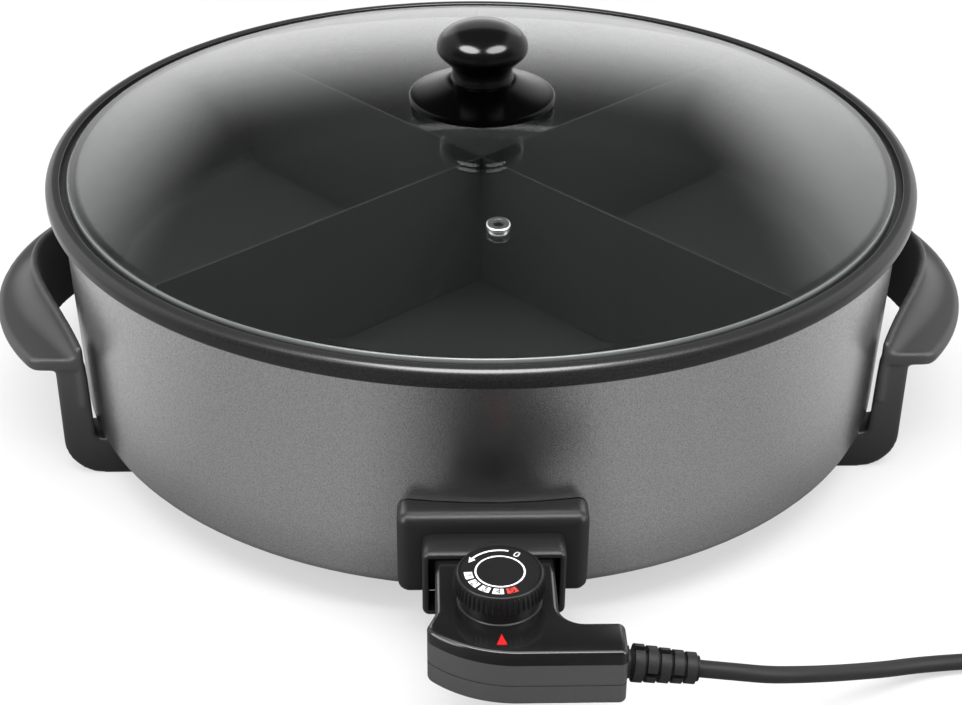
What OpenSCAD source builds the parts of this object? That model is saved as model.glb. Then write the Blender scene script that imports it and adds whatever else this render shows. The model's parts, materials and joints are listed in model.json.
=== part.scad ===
// Electric grill pan: a drum housing with a divided pan, a glass lid and a plug-in thermostat.
// Millimetres. It stands on z = 0, the middle of its plan is over the origin, the front faces -Y.

/* [Housing] */
// Radius of the housing under the rim
housing_r = 203.5; // [190:0.5:220]
// How much narrower the housing is at its foot
housing_taper = 2.8; // [2:0.1:6]
// Height of the housing
housing_h = 108; // [98:1:120]
// Sheet thickness of the housing
sheet_t = 1.2; // [0.8:0.1:2]
// Radius of the fold at the housing's foot
foot_fold = 6; // [3:0.5:9]
// Width of the lip turned in under the housing
lip_w = 33; // [29:1:38]
// Gap between the housing and the table
table_gap = 20; // [16:1:26]

/* [Cooking pan] */
// How far the rim stands out past the housing
rim_out = 6.5; // [5:0.5:9]
// Height of the rim band
rim_h = 8; // [7.5:0.5:10]
// Radius of the rim's upper edge
rim_round = 4; // [2:0.5:4.5]
// Radius of the rim's lower edge
rim_under = 1.5; // [0.5:0.5:2.5]
// Width of the rim outside the lid's seat
rim_lip = 7; // [6.5:0.5:8]
// Height of the lid's ledge above the underside of the rim
ledge_h = 4; // [3:0.5:5]
// Height of the pan's floor above the table
floor_z = 63; // [61:0.5:72]
// Wall of the pan
pan_t = 3; // [2:0.5:4]
// How much narrower the pan is at its floor
pan_taper = 8; // [5:0.5:12]
// Radius between the pan's wall and floor, outside
pan_corner = 12; // [8:1:18]

/* [Lid] */
// Rise of the glass dome
lid_rise = 25.5; // [18:0.5:32]
// Thickness of the glass
glass_t = 4; // [3:0.5:5]
// Radius of the hole for the knob's screw
knob_hole_r = 3.5; // [3:0.1:4.5]
// Distance of the vent from the middle of the lid
vent_at = 116; // [70:1:150]
// How far the lid is turned on the pan, in degrees
lid_turn = 2; // [-180:1:180]
// Radius of the vent's flange
vent_flange_r = 5.6; // [5:0.1:7]
// Radius of the vent's bore
vent_bore_r = 2.4; // [1.5:0.1:3]
// Radius of the plate under the knob
knob_plate_r = 35.3; // [28:0.5:42]
// Thickness of that plate at its edge
knob_plate_t = 3.4; // [2.5:0.1:5]
// Rise of the plate from its edge to the neck
knob_plate_rise = 8; // [4:0.5:11]
// Radius of the knob's neck
knob_neck_r = 14.6; // [11:0.2:17]
// Length of the knob's neck
knob_neck_h = 5; // [3:0.5:9]
// Radius of the knob's ball
knob_ball_r = 21.8; // [19:0.2:26]
// Half height of the ball above its widest line
knob_dome_h = 12.2; // [9:0.2:18]
// Drop from the ball's widest line to the neck
knob_tuck_h = 10.7; // [8:0.1:15]
// Thickness of the seal between plate and glass
knob_gasket_t = 1; // [0.6:0.1:2]

/* [Divider] */
// Thickness of a divider plate
divider_t = 1.5; // [1:0.1:2.5]
// Height of the plates' top edge above the underside of the rim
divider_up = 1.8; // [-6:0.1:2.5]
// Angle of the long plate to the front
divider_angle = 42; // [30:1:60]

/* [Handles] */
// Distance from the housing to the middle of the heat guard
guard_out = 21.5; // [18:0.5:26]
// The same distance at the guard's ends
guard_end = 5.3; // [5:0.1:9]
// Thickness of the heat guard
guard_t = 4; // [3:0.2:4.6]
// Height of the guard's lower edge above the table
guard_low = 38; // [30:1:46]
// Rise of the guard above the grip in the middle
guard_up = 17; // [15:1:20]
// Drop of the guard's upper edge towards its ends
guard_dip = 11.5; // [6:0.5:12]
// Height of the grip's upper face
grip_z = 66; // [60:1:76]
// Thickness of the grip
grip_t = 7; // [6:0.5:9]
// Reach of the grip past the housing
grip_out = 38.8; // [37:0.2:44]
// Radius of the grip's outer edge in plan
grip_arc = 130; // [120:1:150]
// Half width of the grip
grip_half = 82; // [81:0.5:90]
// Radius of the grip's corners in plan
grip_corner = 10; // [7:0.5:14]
// Radius of the grip's edges
grip_round = 2.5; // [1.5:0.1:2.8]
// Radius of the sweep from grip to guard
grip_sweep = 12; // [8:0.5:12.5]
// Distance of a leg's outer face from the middle plane
leg_face = 80; // [76:1:81]
// Thickness of a leg
leg_w = 20; // [18:1:26]
// How far the leg's side stands inside the housing's upper radius
leg_in = 0.5; // [0:0.5:3]
// Radius of the leg's lower corner
leg_corner = 18; // [10:1:19]
// Length of the arm under the housing past its screw
arm_past_screw = 12; // [9:1:18]

/* [Inlet] */
// Width of the inlet frame
frame_w = 80; // [76:1:90]
// Lower edge of the inlet frame
frame_low = 28; // [27:0.5:29]
// Height of the inlet frame
frame_h = 40; // [37:1:46]
// Reach of the frame past the housing
frame_out = 10.6; // [10:0.1:14]
// Radius of the frame's front edge
frame_round = 5; // [3:0.5:6]
// Width of the tunnel
tunnel_w = 59; // [57:0.5:62]
// Height of the tunnel
tunnel_h = 32; // [32:0.5:34]
// Reach of the tunnel past the frame
tunnel_out = 14; // [10:0.5:18]
// Wall of the tunnel
tunnel_t = 2.6; // [2:0.1:3]

/* [Heater] */
// Radius of the heater ring
heater_r = 125; // [100:1:140]
// Radius of the heater's tube
heater_tube_r = 3.5; // [3:0.1:4.5]
// Half distance between the contact pins
pin_x = 16; // [15:0.5:17]
// Height of the contact pins
pin_z = 44; // [42:0.5:46]
// Radius of a contact pin
pin_r = 3; // [2.5:0.1:3.2]
// Height of the probe's axis
probe_z = 48; // [47:0.5:49]
// Radius of the probe
probe_r = 4; // [3:0.1:4.2]
// Reach of the probe past the thermostat's nose
probe_out = 56; // [45:1:62]

/* [Thermostat] */
// Lower face of the thermostat
ctrl_low = 31; // [31:0.1:31.3]
// Height of the thermostat
ctrl_h = 25.5; // [25:0.1:25.8]
// Height of the seam above the lower face
ctrl_seam = 9.5; // [7:0.5:11]
// Wall of the thermostat's housing
ctrl_t = 2.2; // [1.6:0.1:2.4]
// Half width of the nose
nose_half = 24.3; // [23.5:0.1:24.6]
// How far the nose goes into the tunnel
nose_in = 12; // [8:0.5:13]
// Length of the thermostat from nose to front
ctrl_len = 70; // [67:0.5:74]
// Reach of the left cheek from the middle plane
cheek_x = 27.5; // [26:0.1:29]
// Radius of the curved front left side
cheek_arc = 50; // [45:1:56]
// Where that curve runs into the straight front
cheek_end_x = 8; // [4:0.5:12]
// Reach of the arm with the cord from the middle plane
ctrl_arm_x = 49.5; // [47:0.5:56]
// Depth of that arm
ctrl_arm_w = 19; // [18.5:0.5:22]
// Radius of the hollow between nose and arm
ctrl_hollow = 10; // [6:0.5:12]
// Radius of the upper edge
ctrl_round = 2.4; // [1:0.2:2.6]

/* [Dial] */
// Distance of the dial's axis from the end of the nose
dial_at = 37; // [34:0.5:40]
// Radius of the dial
dial_r = 18; // [15:0.5:20]
// Height of the dial
dial_h = 8.2; // [6:0.2:10]
// Offset of dial and lens to the right
dial_x = 1.2; // [0:0.1:2]
// Radius of the round seat under the dial
dial_seat_r = 16.4; // [14:0.1:17]
// Height of that seat
dial_seat_h = 5.6; // [3:0.2:8]
// Number of ribs round the dial
dial_ribs = 54; // [36:1:72]
// Depth of a rib
dial_rib_d = 0.8; // [0.4:0.1:1.2]
// Radius of the printed disc
dial_face_r = 15.6; // [12:0.1:16]
// Radius of the dial's spindle
shaft_r = 3; // [2.5:0.1:3.5]
// Length of the red lens
lens_l = 6.6; // [5:0.2:8]
// Width of the red lens
lens_w = 4.2; // [3:0.2:6]
// Distance of the red lens from the dial
lens_gap = 3; // [1.6:0.1:3]

/* [Cord] */
// Diameter of the cord
cord_d = 7; // [6:0.1:7]
// Length of the strain relief outside the housing
relief_l = 28.5; // [22:0.5:40]
// Radius of the strain relief at the housing
relief_r = 7.5; // [7:0.1:8]
// Droop of the strain relief in degrees
relief_tilt = 7.5; // [0:0.5:10]
// Number of ribs on the strain relief
relief_ribs = 5; // [3:1:7]
// Turns of the coil
coil_turns = 4.25; // [2.25:1:4.25]
// Radius of the coil's outer turn
coil_r = 45.5; // [44:0.5:60]
// Step from turn to turn
coil_step = 7.5; // [7.5:0.1:8]
// Height of the coil's lower layer
coil_z = 4.6; // [4.6:0.1:5]
// Radius of the plug's body
plug_r = 18.5; // [17:0.1:19.5]
// Length of the plug's body
plug_l = 36; // [30:1:45]
// Length of the sleeve behind the plug
plug_sleeve_l = 28; // [20:1:40]
// Half distance between the plug's pins
plug_pin_x = 9.5; // [9.5:0.1:9.7]
// Radius of a plug pin
plug_pin_r = 2.4; // [2:0.1:2.5]
// Length of a plug pin
plug_pin_l = 19; // [17:0.5:19.5]

/* [Clearances] */
// Between sheet parts that only stand side by side
side_gap = 0.6; // [0.4:0.1:1]
// Between parts that slide or lift apart
slide_gap = 0.3; // [0.3:0.05:0.5]
// Between a screw or pin and its hole
hole_gap = 0.1; // [0.05:0.05:0.2]
// Between the lid and the rim round it
lid_gap = 3; // [2.6:0.1:3.2]
// Between the pan's wall and the housing
pan_gap = 3; // [2:0.5:4]
// Between the handles and the housing
handle_gap = 2.5; // [1.5:0.1:2.6]
// Between the nose and the tunnel
nose_gap = 0.5; // [0.4:0.05:0.6]
// Under the dial
dial_gap = 0.4; // [0.3:0.1:1]

/* [Hidden] */
$fn = 96;

// Heights and radii of the drum
rim_z = table_gap + housing_h;
rim_top = rim_z + rim_h;
rim_r = housing_r + rim_out;
foot_r = housing_r - housing_taper;
lip_r = foot_r - lip_w;
pan_r = housing_r - sheet_t - pan_gap;
pan_foot_r = pan_r - pan_taper;
pan_under = floor_z - pan_t;
ledge_z = rim_z + ledge_h;
ledge_r = rim_r - rim_lip;

// Lid
lid_r = ledge_r - lid_gap;
lid_seat = ledge_z + slide_gap - glass_t * lid_rise / lid_r;
dome_r = (lid_r * lid_r + lid_rise * lid_rise) / (2 * lid_rise);
crest_z = lid_seat + lid_rise;
knob_z = crest_z + glass_t + knob_gasket_t;
neck_z = knob_z + knob_plate_t + knob_plate_rise;
ball_z = neck_z + knob_neck_h + knob_tuck_h;
knob_screw_r = knob_hole_r - 1;
knob_screw_l = 16;
washer_r = 13;
washer_t = 1.5;
washer_z = dome_z(washer_r) - washer_t - hole_gap;
screw_head_h = 2.6;

// Screws of the handles, in the lip under the housing
leg_y = leg_face - leg_w / 2;
lip_mid_r = foot_r - lip_w / 2;
arm_screw_x = sqrt(lip_mid_r * lip_mid_r - leg_y * leg_y);
arm_screw_r = 2.5;
arm_head_r = 4.6;
arm_head_h = 3;
arm_recess = 8;
nut_r = 4.4;
nut_h = 4;

// Base plate, on the lip
plate_r = lip_r + 8;
plate_screw_r = 1.5;
plate_screw_at = lip_r + 4;
plate_angles = [90, 210, 330];
plate_dish_r = 60;
plate_bead_r = 119;
plate_bead_w = 12;
plate_bead_h = 2.5;

// Inlet and thermostat, measured from the pan's axis
inlet_mid = frame_low + frame_h / 2;
wall_y = housing_at(inlet_mid);
frame_y = wall_y + frame_out;
tunnel_y = frame_y + tunnel_out;
tunnel_mid = frame_low + tunnel_h / 2;
mouth_w = tunnel_w - 2 * tunnel_t;
mouth_h = tunnel_h - 2 * tunnel_t;
block_t = 5;
block_back = wall_y + 1.8;
block_y = block_back + block_t;
pin_end_y = tunnel_y + 2;
inlet_screw_x = (frame_w / 2 + mouth_w / 2) / 2;
inlet_screw_r = 1.7;
nose_y = tunnel_y - nose_in;
front_y = nose_y + ctrl_len;
ctrl_top = ctrl_low + ctrl_h;
seam_z = ctrl_low + ctrl_seam;
arm_back = -(ctrl_len - ctrl_arm_w);
arm_mid = arm_back - ctrl_arm_w / 2;
cord_z = ctrl_top - 12.5;
relief_neck = relief_r - 1.2;
relief_collar = ctrl_arm_w / 2 - ctrl_t - hole_gap;
relief_start = 1.2;
boss_left_x = 19;
boss_left_y = 13;
boss_back_x = 18;
boss_back_y = 40;
boss_right_x = 24;
boss_right_y = 10;
ctrl_bosses = [
    [-boss_left_x, boss_left_y - ctrl_len], [boss_back_x, boss_back_y - ctrl_len],
    [boss_right_x, boss_right_y - ctrl_len]
];
boss_bite = 4;
boss_r = 3.4;
boss_screw_r = 1.5;
boss_head_r = 2.9;
boss_head_h = 2;
carrier_l = 8;
sleeve_t = 1.2;
lamp_r = 2.4;
lens_y = -(dial_at + dial_r + lens_gap);
lens_drop = 1.6;
dial_low = ctrl_top + dial_seat_h + dial_gap;
dial_top = dial_low + dial_h;
dial_recess = 0.6;

// The middle of the plan, from the rim's back to the thermostat's front, lies over the origin
pan_y = (front_y - rim_r) / 2;

// Route of the free cord, from the end of the strain relief to the coil
relief_end = [
    ctrl_arm_x + relief_l * cos(relief_tilt), pan_y - nose_y + arm_mid, cord_z - relief_l * sin(relief_tilt)
];
cord_route = [
    relief_end, [92, -237.5, 38.4], [106, -235.5, 35], [120, -230, 30], [134, -222, 23.4],
    [148, -213.5, 16.8], [162, -206, 11.4], [176, -199.5, 7.5], [190, -195.5, 5.3], [204, -193.7, 4.6],
    [219, -193.5, 4.6], [235, -193.5, 4.6], [251, -193.5, 4.6], [268, -193.5, 4.6]
];
cord_r = cord_d / 2;
coil_at = [275, -148];
coil_rings = 24;
coil_sides = 6;
coil_lead = 40;
plug_at = [coil_at[0] + coil_r, coil_at[1] + coil_lead + cord_d + 1, plug_r];
plug_face_y = plug_at[1] + plug_sleeve_l + plug_l;
plug_root_r = plug_pin_r - 0.4;
plug_tip = 1.4;
tie_t = 0.8;
tie_w = 10;

// Radius of the housing's outside at a height
function housing_at(z) = housing_r - housing_taper * (rim_z - z) / housing_h;

// Inner radius of the pan's wall at a height
function pan_in_at(z) = pan_r - pan_t - pan_taper * (ledge_z - z) / (ledge_z - pan_under - pan_corner);

// Underside of the glass at a distance from the axis
function dome_z(r) = crest_z - dome_r + sqrt(dome_r * dome_r - r * r);

// Points along an arc in the plane
function arc(at, r, from, to, steps) =
    [for (i = [0 : steps]) let (a = from + (to - from) * i / steps) at + r * [cos(a), sin(a)]];

// Lifts a plane outline to a height
function at_height(points, z) = [for (p = points) [p[0], p[1], z]];

// Inset and height pairs of a quarter round
function round_steps(r, steps) = [for (i = [0 : steps]) let (a = 90 * i / steps) [r - r * cos(a), r * sin(a)]];

// Smooth step from 0 to 1
function ease(t) = t <= 0 ? 0 : t >= 1 ? 1 : t * t * (3 - 2 * t);

// Rounded rectangle, inset by d
function soft_rect(w, h, r, d) = let (x = w / 2 - r, y = h / 2 - r, k = max(r - d, 0.05), e = max(d - r, 0)) concat(
    arc([x - e, y - e], k, 0, 90, 5),
    arc([e - x, y - e], k, 90, 180, 5),
    arc([e - x, e - y], k, 180, 270, 5),
    arc([x - e, e - y], k, 270, 360, 5)
);

// Closes a solid over a stack of rings with equal counts of points
module skin(rings) {
    n = len(rings[0]);
    m = len(rings);
    points = [for (ring = rings) each ring];
    sides = [for (k = [0 : m - 2], i = [0 : n - 1]) let (
        a = k * n + i, b = a + n, j = (i + 1) % n, c = (k + 1) * n + j, d = k * n + j
    ) each [[a, b, c], [a, c, d]]];
    low = [for (i = [0 : n - 1]) i];
    high = [for (i = [0 : n - 1]) m * n - 1 - i];
    polyhedron(points = points, faces = concat([low], sides, [high]), convexity = 10);
}

// Rings of a round tube along a path
function unit(v) = v / norm(v);
function tube_rings(path, r, sides) = [for (i = [0 : len(path) - 1]) let (
    t = unit(path[min(i + 1, len(path) - 1)] - path[max(i - 1, 0)]),
    u = unit(cross(t, [0, 0, 1])),
    v = cross(u, t)
) [for (k = [0 : sides - 1]) let (a = 360 * (k + 0.5) / sides) path[i] + r * (cos(a) * v + sin(a) * u)]];

// Moves a piece from the pan's axis to its place over the origin
module on_axis() {
    translate([0, pan_y, 0]) children();
}

// Moves a piece drawn from the end of the thermostat's nose
module on_nose() {
    translate([0, pan_y - nose_y, 0]) children();
}

// A cylinder along Y, from y0 to y1
module rod_y(x, z, r, y0, y1) {
    translate([x, y1, z]) rotate([90, 0, 0]) cylinder(r = r, h = y1 - y0);
}

// The hollow drum that the legs keep clear of
module housing_clearance(gap) {
    translate([0, 0, table_gap]) cylinder(r1 = foot_r + gap, r2 = housing_r + gap, h = housing_h);
}

module housing_shell() {
    fold = [foot_r - foot_fold, table_gap + foot_fold];
    profile = concat(
        [[lip_r, table_gap]],
        arc(fold, foot_fold, -90, 0, 6),
        [[housing_r, rim_z], [housing_r - sheet_t, rim_z]],
        arc(fold, foot_fold - sheet_t, 0, -90, 6),
        [[lip_r, table_gap + sheet_t]]
    );
    color("dimgray") on_axis() difference() {
        rotate_extrude() polygon(profile);
        translate([-mouth_w / 2 + 3, -wall_y - 8, tunnel_mid - mouth_h / 2 + 2])
            cube([mouth_w - 6, 16, mouth_h - 4]);
        for (sx = [-1, 1], sy = [-1, 1])
            translate([sx * arm_screw_x, sy * leg_y, table_gap - 1])
                cylinder(r = arm_screw_r + hole_gap, h = sheet_t + 2);
        for (a = plate_angles)
            rotate(a) translate([plate_screw_at, 0, table_gap - 1])
                cylinder(r = plate_screw_r + hole_gap, h = sheet_t + 2);
        for (sx = [-1, 1])
            rod_y(sx * inlet_screw_x, inlet_mid, inlet_screw_r + hole_gap, -wall_y - 5, 8 - wall_y);
    }
}

module cooking_pan() {
    corner = [pan_foot_r - pan_corner, pan_under + pan_corner];
    edge = 0.8;
    profile = concat(
        [[0, pan_under]],
        arc(corner, pan_corner, -90, 0, 8),
        [[pan_r, rim_z]],
        arc([rim_r - rim_under, rim_z + rim_under], rim_under, -90, 0, 4),
        arc([rim_r - rim_round, rim_top - rim_round], rim_round, 0, 90, 8),
        arc([ledge_r + edge, rim_top - edge], edge, 90, 180, 3),
        [[ledge_r, ledge_z], [pan_r - pan_t, ledge_z]],
        arc(corner, pan_corner - pan_t, 0, -90, 8),
        [[0, floor_z]]
    );
    color([0.16, 0.16, 0.17]) on_axis() rotate_extrude() polygon(profile);
}

module base_plate() {
    z = table_gap + sheet_t;
    up = [0, plate_bead_h];
    run = [plate_bead_h, 0];
    over = [run[0] / 4, sheet_t];
    dish = [plate_dish_r, z];
    inner = [plate_bead_r - plate_bead_w / 2, z];
    outer = [plate_bead_r + plate_bead_w / 2, z];
    color("silver") on_axis() difference() {
        rotate_extrude() polygon([
            [0, z + plate_bead_h], dish + up, dish + run, inner - run, inner + up, outer + up, outer + run,
            [plate_r, z], [plate_r, z + sheet_t], outer + run + over, outer + up + over,
            [inner[0] - over[0], z + plate_bead_h + sheet_t], [inner[0] - run[0] - over[0], z + sheet_t],
            dish + run + over, dish + up + over, [0, z + plate_bead_h + sheet_t]
        ]);
        for (a = plate_angles)
            rotate(a) translate([plate_screw_at, 0, z - 1])
                cylinder(r = plate_screw_r + hole_gap, h = sheet_t + 2);
    }
}

module base_screws() {
    color("silver") on_axis() for (a = plate_angles)
        rotate(a) translate([plate_screw_at, 0, 0]) {
            translate([0, 0, table_gap - 2]) cylinder(r = 2 * plate_screw_r, h = 2);
            translate([0, 0, table_gap - 1]) cylinder(r = plate_screw_r, h = 2 * sheet_t + 4);
        }
}

module heating_element() {
    z = pan_under - heater_tube_r;
    end_a = asin(pin_x / heater_r);
    end_y = -heater_r * cos(end_a);
    drop_y = 14 - wall_y;
    collar_r = heater_tube_r + 0.6;
    collar_h = 2 * heater_tube_r - 0.6;
    cold_r = heater_tube_r - 0.5;
    color("gray") on_axis() {
        rotate(end_a - 90) rotate_extrude(angle = 360 - 2 * end_a)
            translate([heater_r, z]) circle(r = heater_tube_r);
        for (sx = [-1, 1]) {
            translate([sx * pin_x, end_y, z - collar_h / 2]) cylinder(r = collar_r, h = collar_h);
            rod_y(sx * pin_x, z, cold_r, drop_y, end_y);
            translate([sx * pin_x, drop_y, pin_z - collar_h / 2])
                cylinder(r = collar_r, h = z - pin_z + collar_h);
            rod_y(sx * pin_x, pin_z, cold_r, -wall_y - 0.5, drop_y);
        }
    }
}

module element_clamps() {
    r = heater_tube_r + hole_gap;
    t = 1.5;
    color("silver") on_axis() for (a = [30, 150, 90])
        rotate(a) translate([heater_r, 6, pan_under - heater_tube_r]) rotate([90, 0, 0])
            linear_extrude(12) difference() {
                union() {
                    circle(r = r + t);
                    translate([-r - t, 0]) square([2 * (r + t), heater_tube_r]);
                    translate([-r - 10, heater_tube_r - t]) square([2 * (r + 10), t]);
                }
                circle(r = r);
                translate([-r, 0]) square([2 * r, heater_tube_r + 1]);
                translate([-r - 11, heater_tube_r]) square([2 * (r + 11), 5]);
            }
}

module probe_block() {
    w = 2 * (probe_r + 4);
    back_y = probe_out - nose_y + 8;
    color("silver") on_axis() difference() {
        translate([-w / 2, 14 - wall_y, probe_z - w / 2])
            cube([w, back_y + wall_y - 14, pan_under - probe_z + w / 2]);
        rod_y(0, probe_z, probe_r + slide_gap, -wall_y, back_y - 4);
    }
}

module terminal_pins() {
    color("silver") on_axis() for (sx = [-1, 1]) {
        rod_y(sx * pin_x, pin_z, pin_r, 1 - pin_end_y, -wall_y - 0.5);
        translate([sx * pin_x, 1 - pin_end_y, pin_z]) rotate([90, 0, 0])
            cylinder(r1 = pin_r, r2 = pin_r - 0.8, h = 1);
    }
}

module terminal_block() {
    color("wheat") on_axis() difference() {
        translate([slide_gap - mouth_w / 2, -block_y, tunnel_mid - mouth_h / 2 + slide_gap])
            cube([mouth_w - 2 * slide_gap, block_t, mouth_h - 2 * slide_gap]);
        for (sx = [-1, 1])
            rod_y(sx * pin_x, pin_z, pin_r + hole_gap, -block_y - 1, 1 - block_back);
        rod_y(0, probe_z, probe_r + nose_gap, -block_y - 1, 1 - block_back);
    }
}

module socket_frame() {
    steps = round_steps(frame_round, 4);
    depth = frame_out + 14;
    rings = concat(
        [at_height(soft_rect(frame_w, frame_h, frame_round, 0), 0)],
        [for (s = steps) at_height(soft_rect(frame_w, frame_h, frame_round, s[0]), depth - frame_round + s[1])]
    );
    color([0.1, 0.1, 0.1]) on_axis() difference() {
        translate([0, depth - frame_y, inlet_mid]) rotate([90, 0, 0]) skin(rings);
        housing_clearance(slide_gap);
        translate([-mouth_w / 2, -frame_y - 1, tunnel_mid - mouth_h / 2])
            cube([mouth_w, frame_out + 20, mouth_h]);
        for (sx = [-1, 1])
            rod_y(sx * inlet_screw_x, inlet_mid, inlet_screw_r + hole_gap, 4 - frame_y, 8 - wall_y);
    }
}

module socket_tunnel() {
    round = 2;
    steps = round_steps(round, 3);
    rings = concat(
        [at_height(soft_rect(tunnel_w, tunnel_h, 3, 0), 0)],
        [for (s = steps) at_height(soft_rect(tunnel_w, tunnel_h, 3, s[0]), tunnel_out - round + s[1])]
    );
    color([0.08, 0.08, 0.08]) on_axis() translate([0, -frame_y, tunnel_mid]) rotate([90, 0, 0])
        difference() {
            skin(rings);
            translate([-mouth_w / 2, -mouth_h / 2, -1]) cube([mouth_w, mouth_h, tunnel_out + 2]);
        }
}

module socket_screws() {
    head_y = sqrt(wall_y * wall_y - inlet_screw_x * inlet_screw_x) - sheet_t - 0.8;
    color("silver") on_axis() for (sx = [-1, 1]) {
        rod_y(sx * inlet_screw_x, inlet_mid, 2 * inlet_screw_r, -head_y, 2 - head_y);
        rod_y(sx * inlet_screw_x, inlet_mid, inlet_screw_r, 5 - frame_y, 1 - head_y);
    }
}

// Reach of the heat guard's middle line: it bulges in the middle and follows the housing at its ends
function guard_x(y) = sqrt(pow(housing_at(grip_z), 2) - y * y) + guard_end
    + (guard_out - guard_end) * (1 + cos(180 * y / grip_half)) / 2;

// Reach of the grip's edge: an arc with round corners
function grip_x(y) = let (
    centre = housing_r + grip_out - grip_arc,
    corner_y = grip_half - grip_corner,
    corner_x = centre + sqrt(pow(grip_arc - grip_corner, 2) - corner_y * corner_y),
    turn_y = grip_arc * corner_y / (grip_arc - grip_corner),
    v = abs(y)
) v < turn_y ? centre + sqrt(grip_arc * grip_arc - y * y)
    : corner_x + sqrt(max(grip_corner * grip_corner - pow(v - corner_y, 2), 0));

// Cross-section of guard and grip at a place along the handle, rounded off towards the ends
function handle_section(y) = let (
    u = max(abs(y) - grip_half + grip_round, 0) / grip_round,
    d = 0.8 * grip_round * (1 - sqrt(max(1 - u * u, 0))),
    thin = min(d, guard_t / 3),
    back = guard_x(y) - guard_t / 2 + thin,
    front = guard_x(y) + guard_t / 2 - thin,
    low = grip_z - grip_t + d,
    high = grip_z - d,
    top = grip_z + guard_up - guard_dip * pow(y / grip_half, 2) - d,
    edge = min(1.3, (front - back) / 2 - 0.1),
    nose = grip_round - d / 2,
    reach = grip_x(y) - d - nose,
    sweep = min(grip_sweep, top - high - edge - 0.3)
) concat(
    [[back, guard_low + d], [front, guard_low + d], [front, low]],
    arc([reach, low + nose], nose, -90, 0, 3),
    arc([reach, high - nose], nose, 0, 90, 3),
    arc([front + sweep, high + sweep], sweep, 270, 180, 6),
    arc([front - edge, top - edge], edge, 0, 90, 2),
    arc([back + edge, top - edge], edge, 90, 180, 2)
);

// A handle on the +X side: heat guard and grip in one sweep, and two legs with arms under the housing
module handle_form() {
    stations = 14;
    leg_x = housing_r - leg_in;
    leg_top = grip_z - grip_t + grip_round;
    arm_x = arm_screw_x - arm_past_screw;
    rings = [for (i = [-stations : stations]) let (y = grip_half * sin(90 * i / stations))
        at_height(handle_section(y), y)];
    difference() {
        union() {
            rotate([90, 0, 0]) skin(rings);
            for (sy = [-1, 1])
                translate([0, sy * leg_y + leg_w / 2, 0]) rotate([90, 0, 0]) linear_extrude(leg_w)
                    polygon(concat(
                        [[arm_x, 0]],
                        arc([leg_x - leg_corner, leg_corner], leg_corner, -90, 0, 10),
                        [[leg_x, leg_top], [leg_x - 30, leg_top], [leg_x - 30, table_gap], [arm_x, table_gap]]
                    ));
        }
        housing_clearance(handle_gap);
        for (sy = [-1, 1]) translate([arm_screw_x, sy * leg_y, 0]) {
            translate([0, 0, -1]) cylinder(r = arm_head_r + 0.5, h = arm_recess + 1);
            cylinder(r = arm_screw_r + hole_gap, h = table_gap + 1);
        }
    }
}

module handle_left() {
    color([0.12, 0.12, 0.12]) on_axis() mirror([1, 0, 0]) handle_form();
}

module handle_right() {
    color([0.12, 0.12, 0.12]) on_axis() handle_form();
}

module handle_screws() {
    color("silver") on_axis() for (sx = [-1, 1], sy = [-1, 1])
        translate([sx * arm_screw_x, sy * leg_y, arm_recess - arm_head_h]) {
            cylinder(r = arm_head_r, h = arm_head_h);
            cylinder(r = arm_screw_r, h = table_gap + sheet_t + nut_h - arm_recess + arm_head_h + 1);
        }
}

module handle_nuts() {
    color("silver") on_axis() for (sx = [-1, 1], sy = [-1, 1])
        translate([sx * arm_screw_x, sy * leg_y, table_gap + sheet_t]) difference() {
            cylinder(r = nut_r, h = nut_h, $fn = 6);
            translate([0, 0, -1]) cylinder(r = arm_screw_r + hole_gap, h = nut_h + 2);
        }
}

// One divider plate in the XZ plane, with a slot from its top (up = true) or its foot
module divider_plate(up) {
    corner = [pan_foot_r - pan_corner, pan_under + pan_corner];
    corner_r = pan_corner - pan_t - side_gap;
    top = rim_z + divider_up;
    low = floor_z + slide_gap;
    mid = (top + low) / 2;
    half = concat(
        [[pan_in_at(top) - side_gap, top]],
        [for (p = arc(corner, corner_r, 0, -80, 6)) [p[0], max(p[1], low)]],
        [[corner[0] - 1, low]]
    );
    other = [for (i = [len(half) - 1 : -1 : 0]) [-half[i][0], half[i][1]]];
    slot = divider_t + 2 * slide_gap;
    translate([0, divider_t / 2, 0]) rotate([90, 0, 0]) linear_extrude(divider_t) difference() {
        polygon(concat(half, other));
        if (up) translate([-slot / 2, mid - slide_gap / 2]) square([slot, top]);
        else translate([-slot / 2, 0]) square([slot, mid + slide_gap / 2]);
    }
}

module divider_long() {
    color("slategray") on_axis() rotate(divider_angle) divider_plate(true);
}

module divider_cross() {
    color("slategray") on_axis() rotate(divider_angle + 90) divider_plate(false);
}

module lid_glass() {
    edge = glass_t / 2;
    count = 16;
    from = knob_hole_r;
    reach = lid_r - edge - from;
    low = [for (i = [0 : count]) let (r = from + reach * i / count) [r, dome_z(r)]];
    high = [for (i = [count : -1 : 0]) let (r = from + reach * i / count) [r, dome_z(r) + glass_t]];
    rim = arc([lid_r - edge, dome_z(lid_r - edge) + edge], edge, -75, 75, 6);
    color([0.75, 0.82, 0.85, 0.4]) on_axis() difference() {
        rotate_extrude() polygon(concat(low, rim, high));
        rotate(lid_turn) translate([0, -vent_at, crest_z - 2 * lid_rise])
            cylinder(r = vent_bore_r + 1.6, h = 3 * lid_rise);
    }
}

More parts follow.
